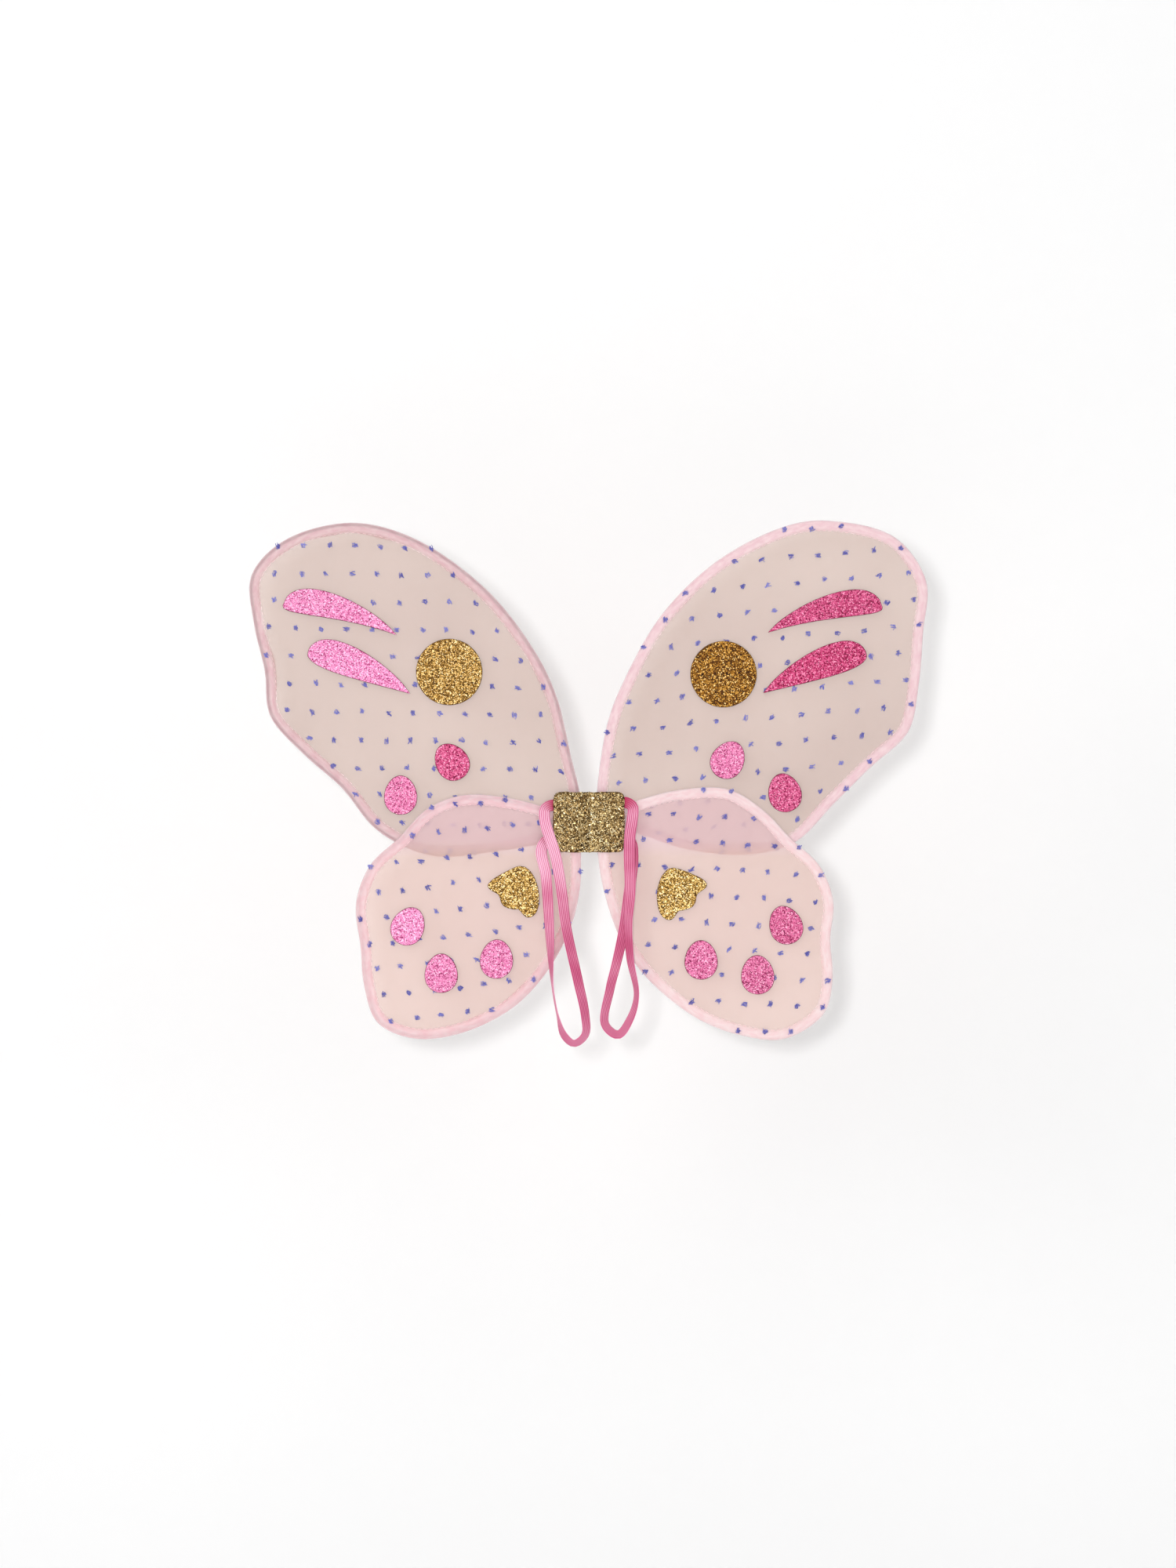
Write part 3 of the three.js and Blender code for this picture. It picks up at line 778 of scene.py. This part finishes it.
# The turned-in allowance: from the seam over the front of the wire and round its outer side.
def makeHem(wing, outline, wireY, seed):
    hem = wingSizes["hemWidth"]
    rows = [(0.28, 0.0), (0.36, -0.45), (0.7, -0.76), (1.2, -0.86), (2.4, -0.8), (3.8, -0.76),
            (5.2, -0.72), (6.4, -0.66), (hem / mm, -0.62)]
    along = np.roll(outline, -1, axis=0) - np.roll(outline, 1, axis=0)
    along /= np.linalg.norm(along, axis=1)[:, None]
    inward = np.stack([-along[:, 1], along[:, 0]], axis=1)
    run = np.concatenate([[0], np.cumsum(np.linalg.norm(np.diff(outline, axis=0), axis=1))])
    points, runs, fars = [], [], []
    for i, (spot, way) in enumerate(zip(outline, inward)):
        wander = sum(size * mm * noise.noise(Vector((run[i] / (length * mm), seed, lane)))
                     for size, length, lane in hemWander)
        for far, deep in rows:
            reach = far * mm + wander * (far * mm / hem) ** 2
            ripple = 0.13 * mm * noise.noise(Vector((run[i] / (6 * mm), far / 2.5, seed))) * (far > 1.3)
            x, z = spot + reach * way
            points.append((x, wireY + deep * mm + ripple, z))
            runs.append(run[i])
            fars.append(reach)
    wide, count = len(rows), len(outline)
    faces = [[i * wide + k, (i + 1) % count * wide + k, (i + 1) % count * wide + k + 1, i * wide + k + 1]
             for i in range(count) for k in range(wide - 1)]
    piece = addPiece(wing + "_hem", points, faces, [hemCloths[wing]])
    writeRun(piece, np.array(runs), np.array(fars))
    return piece


def makeWire(name, outline, wireY):
    line = insetLoop(outline, wingSizes["rimRadius"])[::2]
    curve = bpy.data.curves.new(name, "CURVE")
    curve.dimensions, curve.bevel_depth, curve.bevel_resolution = "3D", wingSizes["wireRadius"], 3
    spline = curve.splines.new("POLY")
    spline.points.add(len(line) - 1)
    for point, (x, z) in zip(spline.points, line):
        point.co = (x, wireY, z, 1)
    spline.use_cyclic_u = True
    bent = bpy.data.objects.new(name + "_line", curve)
    scene.collection.objects.link(bent)
    mesh = bpy.data.meshes.new_from_object(bent.evaluated_get(bpy.context.evaluated_depsgraph_get()))
    bpy.data.objects.remove(bent)
    mesh.materials.clear()
    mesh.materials.append(steel)
    mesh.polygons.foreach_set("use_smooth", [True] * len(mesh.polygons))
    wire = bpy.data.objects.new(name, mesh)
    scene.collection.objects.link(wire)
    return wire


# A run of short thread stitches along a line, each a low arch over the cloth.
def stitchTree():
    tree, given = newTree("hemStitches", {
        "Pitch": "Float", "Stitch": "Float", "Thread": "Float", "Lift": "Float",
        "Seed": "Int", "Material": "Material"})
    line = geoNode(tree, "MeshToCurve", {"Mesh": given["Geometry"]})
    spots = geoNode(tree, "CurveToPoints", {"Curve": line, "Length": given["Pitch"]}, mode="LENGTH")
    heading = addNode(tree, "FunctionNodeAlignRotationToVector", {"Vector": result(spots, "Tangent")},
        axis="X", pivot_axis="Y")
    tip = addNode(tree, "FunctionNodeRotateRotation", {
        "Rotation": heading, "Rotate By": addNode(tree, "FunctionNodeEulerToRotation", {
            "Euler": xyz(tree, 0.0, randomValue(tree, -0.14, 0.14, given["Seed"]), 0.0)})},
            rotation_space="LOCAL")
    half = calc(tree, "MULTIPLY", given["Stitch"], 0.5)
    arch = geoNode(tree, "CurveQuadraticBezier", {
        "Resolution": 5, "Start": xyz(tree, calc(tree, "MULTIPLY", half, -1.0)),
        "Middle": xyz(tree, 0.0, calc(tree, "MULTIPLY", given["Lift"], -2.0)), "End": xyz(tree, half)})
    round_ = geoNode(tree, "CurvePrimitiveCircle", {
        "Resolution": 6, "Radius": calc(tree, "MULTIPLY", given["Thread"], 0.5)})
    stitch = geoNode(tree, "CurveToMesh", {"Curve": arch, "Profile Curve": round_, "Fill Caps": True})
    sewn = geoNode(tree, "InstanceOnPoints",
        {"Points": result(spots, "Points"), "Instance": stitch, "Rotation": tip})
    shaded = geoNode(tree, "StoreNamedAttribute", {
        "Geometry": sewn, "Name": "threadShade", "Value": randomValue(tree, 0.0, 1.0, 3)}, domain="INSTANCE")
    endTree(tree, shaded, given["Material"])
    return tree


def copyShape(name, target):
    return addPiece(name, [v.co for v in target.data.vertices], [p.vertices[:] for p in target.data.polygons])


# Rows of clipped thread tufts over a net: a slanted grid, kept where it meets the net.
def tuftTree():
    tree, given = newTree("threadTufts", {
        "Start": "Vector", "Across": "Vector", "Up": "Vector", "Wander": "Float", "Threads": "Int",
        "Thread": "Float",
        "Length": "Float", "Spread": "Float", "Loft": "Float", "Lean": "Float",
        "Seed": "Int", "Material": "Material"})
    many = 40
    grid = geoNode(tree, "MeshGrid", {
        "Size X": float(many - 1), "Size Y": float(many - 1), "Vertices X": many, "Vertices Y": many})
    place = shaderNode(tree, "SeparateXYZ", {"Vector": geoNode(tree, "InputPosition")})
    column = calc(tree, "ADD", result(place, "X"), 0.5)
    row = calc(tree, "ADD", result(place, "Y"), 0.5)
    acrossPart = vectorCalc(tree, "SCALE", given["Across"], scale=column)
    upPart = vectorCalc(tree, "SCALE", given["Up"], scale=row)
    both = vectorCalc(tree, "ADD", acrossPart, upPart)
    wander = vectorCalc(tree, "SCALE",
        randomValue(tree, (-1, 0, -1), (1, 0, 1), given["Seed"], "FLOAT_VECTOR"), scale=given["Wander"])
    spot = vectorCalc(tree, "ADD", vectorCalc(tree, "ADD", both, given["Start"]), wander)
    laid = geoNode(tree, "SetPosition", {"Geometry": grid, "Position": spot})
    before = vectorCalc(tree, "ADD", geoNode(tree, "InputPosition"), (0, -0.05, 0))
    met = geoNode(tree, "Raycast", {
        "Target Geometry": given["Geometry"], "Source Position": before, "Ray Direction": (0, 1, 0),
        "Ray Length": 0.1})
    touching = geoNode(tree, "SetPosition", {
        "Geometry": laid, "Selection": result(met, "Is Hit"), "Position": result(met, "Hit Position")})
    points = geoNode(tree, "MeshToPoints", {"Mesh": touching, "Selection": result(met, "Is Hit")})
    leaning = geoNode(tree, "StoreNamedAttribute", {
        "Geometry": points, "Name": "tuftTurn", "Value": randomValue(tree, -0.55, 0.55, 11)})
    tuftShade = geoNode(tree, "StoreNamedAttribute", {
        "Geometry": leaning, "Name": "tuftShade", "Value": randomValue(tree, 0.0, 0.5, 12)})
    cutThreads = geoNode(tree, "DuplicateElements", {"Geometry": tuftShade, "Amount": given["Threads"]},
        domain="POINT")
    spread = vectorCalc(tree, "SCALE", randomValue(tree, (-1, 0, -1), (1, 0, 1), 13, "FLOAT_VECTOR"),
        scale=given["Spread"])
    lift = xyz(tree, 0.0, calc(tree, "MULTIPLY", randomValue(tree, -1.0, -0.12, 14), given["Loft"]))
    loose = geoNode(tree, "SetPosition", {
        "Geometry": cutThreads, "Offset": vectorCalc(tree, "ADD", spread, lift)})
    tuftTurn = geoNode(tree, "InputNamedAttribute", {"Name": "tuftTurn"}, data_type="FLOAT")
    turn = calc(tree, "ADD", calc(tree, "ADD", tuftTurn, given["Lean"]), randomValue(tree, -0.75, 0.75, 15))
    fibre = geoNode(tree, "CurveQuadraticBezier", {
        "Resolution": 4, "Start": (-0.5, 0, 0), "Middle": (0.08, 0, 0.34), "End": (0.5, 0, -0.06)})
    scaled = geoNode(tree, "Transform", {
        "Geometry": fibre, "Scale": xyz(tree, given["Length"], given["Length"], given["Length"])})
    round_ = geoNode(tree, "CurvePrimitiveCircle",
        {"Resolution": 5, "Radius": calc(tree, "MULTIPLY", given["Thread"], 0.5)})
    thread = geoNode(tree, "CurveToMesh", {"Curve": scaled, "Profile Curve": round_, "Fill Caps": True})
    tufts = geoNode(tree, "InstanceOnPoints", {
        "Points": loose, "Instance": thread, "Rotation": addNode(tree, "FunctionNodeEulerToRotation", {
            "Euler": xyz(tree, randomValue(tree, 0.0, 6.3, 16), turn, randomValue(tree, -0.1, 0.1, 17))}),
        "Scale": randomValue(tree, (0.5, 0.8, 0.8), (1.15, 1.1, 1.1), 18, "FLOAT_VECTOR")})
    shadeIn = geoNode(tree, "InputNamedAttribute", {"Name": "tuftShade"}, data_type="FLOAT")
    shaded = geoNode(tree, "StoreNamedAttribute", {
        "Geometry": tufts, "Name": "threadShade",
        "Value": calc(tree, "ADD", shadeIn, randomValue(tree, 0.0, 0.5, 19))}, domain="INSTANCE")
    endTree(tree, shaded, given["Material"])
    return tree


tuftSizes = {
    "thread": 0.52 * mm,
    "threads": 14,
    "length": 2.7 * mm,
    "spread": 1.25 * mm,
    "wander": 0.9 * mm,
    # where one tuft of each net sits, the way to the next one across and to the next row up, in millimetres
    "grids": {
        "upper_left": ((-139.3, 117.7), (18.1, -0.3), (2.0, 19.7)),
        "upper_right": ((122.4, 112.2), (19.8, 1.7), (-4.5, 18.5)),
        "lower_left": ((-103.3, -81.8), (17.9, 1.9), (-5.5, 18.0)),
        "lower_right": ((102.8, -72.3), (18.7, -1.0), (3.5, 18.7)),
    },
    "loft": {"upper": 0.3 * mm, "lower": 0.9 * mm},
    "lean": {"left": 0.8, "right": -0.7},
}

sewingTree = stitchTree()
tuftingTree = tuftTree()


def makeTufts(wing, target, seed):
    level, side = wing.split("_")
    start, across, up = (Vector((x * mm, 0, z * mm)) for x, z in tuftSizes["grids"][wing])
    tufts = copyShape(wing + "_tufts", target)
    return runTree(tufts, tuftingTree, {
        "Start": start, "Across": across, "Up": up, "Wander": tuftSizes["wander"],
        "Threads": tuftSizes["threads"],
        "Thread": tuftSizes["thread"], "Length": tuftSizes["length"], "Spread": tuftSizes["spread"],
        "Loft": tuftSizes["loft"][level], "Lean": tuftSizes["lean"][side], "Seed": seed,
        "Material": tuftThread})


stitchSizes = {
    "pitch": 4.1 * mm,
    "stitch": 2.4 * mm,
    "thread": 0.26 * mm,
    "lift": 0.1 * mm,
    "forward": 0.95 * mm,  # how far before the wire the seam runs
}


def makeStitches(wing, outline, wireY):
    seam = insetLoop(outline, wingSizes["hemWidth"])
    line = addLine(wing + "_stitches", [(x, wireY - stitchSizes["forward"], z) for x, z in seam], closed=True)
    return runTree(line, sewingTree, {
        "Pitch": stitchSizes["pitch"], "Stitch": stitchSizes["stitch"], "Thread": stitchSizes["thread"],
        "Lift": stitchSizes["lift"], "Seed": 4, "Material": stitchThread})


def makeWing(wing, seed):
    level, side = wing.split("_")
    wireY = wireDepths[level]
    outline = smoothLoop(rearOutline(wing + "_back_mesh"), wingSizes["edgeStep"])
    backNet = makeNet(wing + "_back_net", outline, wireY, 1, seed + 20, False)
    frontNet = makeNet(wing + "_front_net", outline, wireY, -1, seed, True)
    hem = makeHem(wing, outline, wireY, seed)
    wire = makeWire(wing + "_wire_loop", outline, wireY)
    stitches = makeStitches(wing, outline, wireY)
    tufts = makeTufts(wing, frontNet, seed)
    for piece in (backNet, frontNet, hem, wire, stitches, tufts):
        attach(piece, f"{side}_half")
    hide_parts(wing + "_back_mesh")
    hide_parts(wing + "_front_mesh")
    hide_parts(wing + "_wire")


for seed, wing in enumerate(tuftSizes["grids"]):
    makeWing(wing, seed)
    print(wing, "wing made")


# The sleeve that joins a wire's two ends, with its edges rounded by the pliers.
def makeCrimp(wing):
    node = wing + "_crimp"
    mesh = nodes[node].data.copy()
    sleeve = bpy.data.objects.new(wing + "_crimp_sleeve", mesh)
    scene.collection.objects.link(sleeve)
    weld = sleeve.modifiers.new("weld", "WELD")
    weld.merge_threshold = 0.01 * mm
    flat = sleeve.modifiers.new("flat", "DECIMATE")
    flat.decimate_type, flat.angle_limit = "DISSOLVE", math.radians(5)
    bevel = sleeve.modifiers.new("bevel", "BEVEL")
    bevel.width, bevel.segments = 0.35 * mm, 3
    settle(sleeve)
    sleeve.data.materials.clear()
    sleeve.data.materials.append(steel)
    sleeve.data.polygons.foreach_set("use_smooth", [True] * len(sleeve.data.polygons))
    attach(sleeve, wing.split("_")[1] + "_half")
    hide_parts(node)


for wing in tuftSizes["grids"]:
    makeCrimp(wing)
print("crimps made")


# ---- glitter ----

flakeSizes = {
    "spacing": {"gold": 0.45 * mm, "pink": 0.45 * mm, "sheet": 0.72 * mm},
    "flake": {"gold": 0.58 * mm, "pink": 0.58 * mm, "sheet": 0.95 * mm},
    "frontOn": 0.93,  # cosine of the most that a covered face may lean
    "tilt": 0.5,
    "density": 7e6,
}


# Covers faces that look to the front with small six-sided flakes, each tilted its own way.
def flakeTree():
    tree, given = newTree("glitterFlakes", {
        "Spacing": "Float", "Density": "Float", "Flake": "Float", "Tilt": "Float", "Facing": "Vector",
        "Seed": "Int", "Material": "Material"})
    normal = result(geoNode(tree, "InputNormal"), "Normal")
    wholeFace = geoNode(tree, "FieldOnDomain", {"Value": normal}, data_type="FLOAT_VECTOR", domain="FACE")
    facing = vectorCalc(tree, "DOT_PRODUCT", wholeFace, given["Facing"])
    chosen = addNode(tree, "FunctionNodeCompare",
        {"A": result(facing, "Value"), "B": flakeSizes["frontOn"]}, operation="GREATER_THAN")
    spots = geoNode(tree, "DistributePointsOnFaces", {
        "Mesh": given["Geometry"], "Distance Min": given["Spacing"], "Density Max": given["Density"],
        "Seed": given["Seed"], "Selection": chosen}, distribute_method="POISSON")
    flake = geoNode(tree, "MeshCircle", {
        "Vertices": 6, "Radius": calc(tree, "MULTIPLY", given["Flake"], 0.5)}, fill_type="NGON")
    lean = calc(tree, "MULTIPLY", randomValue(tree, -1.0, 1.0, 2), given["Tilt"])
    sway = calc(tree, "MULTIPLY", randomValue(tree, -1.0, 1.0, 3), given["Tilt"])
    turned = addNode(tree, "FunctionNodeRotateRotation", {
        "Rotation": result(spots, "Rotation"), "Rotate By": addNode(tree, "FunctionNodeEulerToRotation", {
            "Euler": xyz(tree, lean, sway, randomValue(tree, 0.0, 3.2, 4))})}, rotation_space="LOCAL")
    size = randomValue(tree, 0.7, 1.15, 5)
    strewn = geoNode(tree, "InstanceOnPoints", {
        "Points": result(spots, "Points"), "Instance": flake, "Rotation": turned,
        "Scale": xyz(tree, size, size, size)})
    offset = vectorCalc(tree, "SCALE", given["Facing"],
        scale=calc(tree, "MULTIPLY", given["Flake"], randomValue(tree, 0.06, 0.28, 6)))
    raised = geoNode(tree, "TranslateInstances",
        {"Instances": strewn, "Translation": offset, "Local Space": False})
    shaded = geoNode(tree, "StoreNamedAttribute", {
        "Geometry": raised, "Name": "flakeShadeAndGlint", "Value": randomValue(tree, 0.0, 1.0, 7)}, domain="INSTANCE")
    endTree(tree, shaded, given["Material"])
    return tree


strewingTree = flakeTree()


# A new piece that holds only the flakes strewn over another piece.
def strewFlakes(name, target, kind, toneAndGlint, facing, seed):
    piece = copyShape(name, target)
    runTree(piece, strewingTree, {
        "Spacing": flakeSizes["spacing"][kind], "Density": flakeSizes["density"],
        "Flake": flakeSizes["flake"][kind],
        "Tilt": flakeSizes["tilt"], "Facing": facing, "Seed": seed, "Material": flakes[kind]})
    if not piece.data.polygons:
        raise RuntimeError(name + " holds no flakes")
    setPointValue(piece, "toneAndGlint", toneAndGlint)
    return piece


glitterSizes = {
    "edgeStep": 0.9 * mm,
    "rounding": 0.5 * mm,
    "sunk": 0.5 * mm,  # how far the rear reaches past the frame's piece, down to the net
    "cutWander": 0.12 * mm,
}

# Where each piece's glitter lies between the deep range, 0, and the light one, 1: partly the piece's own
# tone, partly painted reflection, mostly lighter on the left and darker on the right as the light falls, and
# with it the share of painted glints.
glitterToneAndGlint = {
    "upper_left": {"gold_disc": 0.62, "feather_high": 0.92, "feather_low": 1.0, "egg_inner": 0.12,
        "egg_outer": 0.62},
    "upper_right": {"gold_disc": 0.0, "feather_high": 0.08, "feather_low": 0.0, "egg_inner": 0.66,
        "egg_outer": 0.16},
    "lower_left": {"gold_shell": 0.9, "egg_inner": 0.78, "egg_middle": 0.78, "egg_outer": 1.0},
    "lower_right": {"gold_shell": 1.0, "egg_inner": 0.5, "egg_middle": 0.42, "egg_outer": 0.32},
}


# A glued-on shape cut from glitter foam, with a rounded front edge. The base's faces point inwards, so its
# flakes, which choose faces by the way they point, lie on its rear.
def makeGlitter(wing, shape, toneAndGlint, seed):
    node = f"{wing}_{shape}"
    kind = "gold" if shape.startswith("gold") else "pink"
    front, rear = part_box(node)[0][1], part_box(node)[1][1] + glitterSizes["sunk"]
    outline = smoothLoop(rearOutline(node), glitterSizes["edgeStep"])
    along = np.roll(outline, -1, axis=0) - np.roll(outline, 1, axis=0)
    along /= np.linalg.norm(along, axis=1)[:, None]
    inward = np.stack([-along[:, 1], along[:, 0]], axis=1)
    turn = (along * np.roll(along, -1, axis=0)).sum(axis=1)
    sharp = outline[np.minimum(turn, np.roll(turn, 1)) < 0.8]
    calm = np.ones(len(outline))
    if len(sharp):
        gap = np.linalg.norm(outline[:, None] - sharp[None], axis=2).min(axis=1)
        calm = np.clip(gap / (5 * mm), 0.12, 1)
    wander = glitterSizes["cutWander"] * softNoise(outline[:, 0], outline[:, 1], 2.5 * mm, seed) * calm
    outline = outline + inward * wander[:, None]
    rings = [(0.12, rear), (0, rear - 0.12 * mm), (0, front + glitterSizes["rounding"])]
    for angle in (30, 60, 90):
        leant = math.radians(angle)
        rings.append((glitterSizes["rounding"] / mm * (1 - math.cos(leant)),
            front + glitterSizes["rounding"] * (1 - math.sin(leant))))
    count = len(outline)
    points = [(x, y, z) for reach, y in rings for x, z in outline + inward * (calm * reach * mm)[:, None]]
    faces = [[k * count + i, k * count + (i + 1) % count, (k + 1) * count + (i + 1) % count,
        (k + 1) * count + i]
             for k in range(len(rings) - 1) for i in range(count)]
    faces += [list(range(count))[::-1], [(len(rings) - 1) * count + i for i in range(count)]]
    base = addPiece(node + "_base", points, [f[::-1] for f in faces], [coats[kind], cutEdges[kind]])
    for face in base.data.polygons:
        rim = face.index < 4 * count or face.index == len(faces) - 2
        face.material_index = 1 if rim else 0
        face.use_smooth = face.index < len(faces) - 2
    setPointValue(base, "toneAndGlint", toneAndGlint)
    coat = strewFlakes(node + "_flakes", base, kind, toneAndGlint, (0, -1, 0), seed)
    for piece in (base, coat):
        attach(piece, wing.split("_")[1] + "_half")
    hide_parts(node)


for wing, shapes in glitterToneAndGlint.items():
    for seed, (shape, toneAndGlint) in enumerate(shapes.items()):
        makeGlitter(wing, shape, toneAndGlint, seed + 10 * len(wing))
print("glitter shapes made")


# ---- patches ----

patchSizes = {
    "cornerRadius": 5 * mm,
    "thickness": 0.7 * mm,
    "step": 1.0 * mm,
    "valley": {"front": 9 * mm, "back": 7 * mm},  # how far out from the crease the patch starts to dip
    "dip": {"front": 0.42, "back": 1.0},  # the share of the way to the frame's middle strip that it dips
    "dipPower": {"front": 1.0, "back": 1.2},
    "edgeWander": 0.5 * mm,
    "wrinkle": 0.22 * mm,
    "toneAndGlint": {"front": 0.38, "back": 0.4},
    # Painted highlight: a bright streak beside the crease.
    "streakX": 2.4 * mm,
    "streakWidth": 2.2 * mm,
    "blendFrom": 3.4 * mm,
    "blendTo": 6.4 * mm,
}


# The painted sheen over a patch: a painted bright streak beside the crease, and soft clouds of painted sheen.
def paintedPatchSheen(spots, level, seed):
    x, z = spots[:, 0], spots[:, 2]
    clouds = softNoise(x, z * 0.6, 6 * mm, 70)
    fromStreak = (x - patchSizes["streakX"] - 0.8 * mm * softNoise(z, z, 9 * mm,
        71)) / patchSizes["streakWidth"]
    streak = np.exp(-(fromStreak**2)) * (level == "front") * np.clip(0.75 + 0.6 * softNoise(z, z, 7 * mm,
        72), 0, 1)
    return np.clip(patchSizes["toneAndGlint"][level] + 0.42 * clouds + 1.0 * streak, 0, 1)


# Half of a patch, from the crease to its outer edge. The two halves meet at the crease, on the centre.
def makePatchHalf(level, side, seed):
    sign = sides[side]
    outward = -1 if level == "front" else 1
    low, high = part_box(f"{level}_patch_{side}")
    middleLow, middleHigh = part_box(f"{level}_patch_middle")
    outerY, creaseY = (low[1], middleLow[1]) if level == "front" else (high[1], middleHigh[1])
    halfWide, halfTall, radius = max(abs(low[0]), abs(high[0])), high[2], patchSizes["cornerRadius"]
    columns = round(halfWide / patchSizes["step"])
    rows = round(2 * halfTall / patchSizes["step"])
    x = np.linspace(0, halfWide, columns + 1)[:, None] + np.zeros(rows + 1)
    past = np.maximum(x - (halfWide - radius), 0)
    tall = halfTall - radius + np.sqrt(np.maximum(radius**2 - past**2, 0))
    t = np.linspace(-1, 1, rows + 1)[None] + np.zeros((columns + 1, 1))
    z = t * tall
    edgeNoise = softNoise((sign * x).ravel(), z.ravel(), 7 * mm, seed).reshape(x.shape)
    z = z + patchSizes["edgeWander"] * edgeNoise * np.abs(t) ** 6
    outwards = patchSizes["edgeWander"] * softNoise(
        np.full(x.size, 9.0), z.ravel(), 7 * mm, seed + 2).reshape(x.shape)
    x = x + outwards * (x / halfWide) ** 6
    dip = patchSizes["dip"][level] * (
        1 - softStep(0, patchSizes["valley"][level], x)) ** patchSizes["dipPower"][level]
    wrinkles = softNoise((sign * x).ravel(), (z * 0.45).ravel(), 6.5 * mm, seed + 5).reshape(x.shape)
    sag = 0.7 * mm * np.abs(t) ** 8
    y = outerY + (creaseY - outerY) * dip - outward * (
        patchSizes["wrinkle"] * (0.6 + wrinkles) * (1 - dip) + sag * (1 - dip))
    points = np.stack([sign * x, y, z], axis=-1).reshape(-1, 3)
    tallCount = rows + 1
    faces = [[a, a + tallCount, a + tallCount + 1, a + 1]
             for i in range(columns) for j in range(rows) for a in [i * tallCount + j]]
    if sign * outward > 0:
        faces = [f[::-1] for f in faces]
    half = addPiece(f"{level}_patch_{side}_half", points, faces, [coats["sheet"], cutEdges["sheet"]])
    solid = half.modifiers.new("thickness", "SOLIDIFY")
    solid.thickness, solid.offset, solid.use_even_offset = patchSizes["thickness"], -1, True
    solid.material_offset, solid.material_offset_rim = 1, 1
    settle(half)
    spots = np.array([v.co[:] for v in half.data.vertices])
    setPointValue(half, "toneAndGlint", paintedPatchSheen(spots, level, seed))
    coat = strewFlakes(f"{level}_patch_{side}_flakes", half, "sheet", 0.5, (0, outward, 0), seed)
    spots = np.array([v.co[:] for v in coat.data.vertices])
    coat.data.attributes["toneAndGlint"].data.foreach_set("value", paintedPatchSheen(spots, level, seed).astype(np.float32))
    for piece in (half, coat):
        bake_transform(piece)
    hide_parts(f"{level}_patch_{side}", f"{level}_patch_middle")


for level in ("front", "back"):
    for seed, side in enumerate(sides):
        makePatchHalf(level, side, 40 + seed)
print("patches made")


# ---- stage ----

stageSizes = {
    "wallY": 0.28,
    "floorZ": -0.72,
    "sweep": 0.25,
    "wide": 3.2,
    "high": 2.2,
    "near": -3.4,
}


# One pale sheet: a floor that curves up into a wall. It is clear when seen from behind.
def makeStage():
    material, tree, shader = newMaterial("paleStage", Base_Color=(0.95, 0.95, 0.95, 1), Roughness=0.9)
    clear = shaderNode(tree, "BsdfTransparent")
    behind = result(shaderNode(tree, "NewGeometry"), "Backfacing")
    shown = shaderNode(tree, "MixShader", {0: behind, 1: result(shader), 2: clear})
    tree.links.new(result(shown), tree.nodes["Material Output"].inputs["Surface"])
    wallY, floorZ, sweep = (stageSizes[k] for k in ("wallY", "floorZ", "sweep"))
    profile = [(stageSizes["near"], floorZ)]
    for i in range(17):
        turn = math.pi / 2 * i / 16
        profile.append((wallY - sweep + sweep * math.sin(turn), floorZ + sweep - sweep * math.cos(turn)))
    profile.append((wallY, stageSizes["high"]))
    wide = stageSizes["wide"]
    points = [(x, y, z) for y, z in profile for x in (-wide, wide)]
    faces = [[2 * i, 2 * i + 1, 2 * i + 3, 2 * i + 2] for i in range(len(profile) - 1)]
    addPiece("pale_backdrop", points, faces, [material])


lamps = {
    "key": {"place": (-0.13, -2.75, 0.1), "size": 0.16, "power": 24.5},
    "leftSoft": {"place": (-1.9, -1.7, 1.0), "size": 1.3, "power": 11.8},
    "rightSoft": {"place": (1.9, -1.9, 0.6), "size": 1.3, "power": 6.3},
    "topSoft": {"place": (0, -1.2, 1.9), "size": 1.2, "power": 6.3},
    "rear": {"place": (0.6, 2.4, 1.1), "size": 1.6, "power": 9.5},
}


def makeLamps():
    for name, facts in lamps.items():
        light = bpy.data.lights.new(name, "AREA")
        light.shape, light.size, light.energy = "DISK", facts["size"], facts["power"]
        lamp = bpy.data.objects.new(name, light)
        lamp.location = facts["place"]
        lamp.rotation_euler = (-Vector(facts["place"])).to_track_quat("-Z", "Y").to_euler()
        scene.collection.objects.link(lamp)
    world = bpy.data.worlds.new("room")
    world.use_nodes = True
    world.node_tree.nodes["Background"].inputs["Color"].default_value = (1, 1, 1, 1)
    world.node_tree.nodes["Background"].inputs["Strength"].default_value = 0.435
    scene.world = world


makeStage()
makeLamps()
print("stage lit")
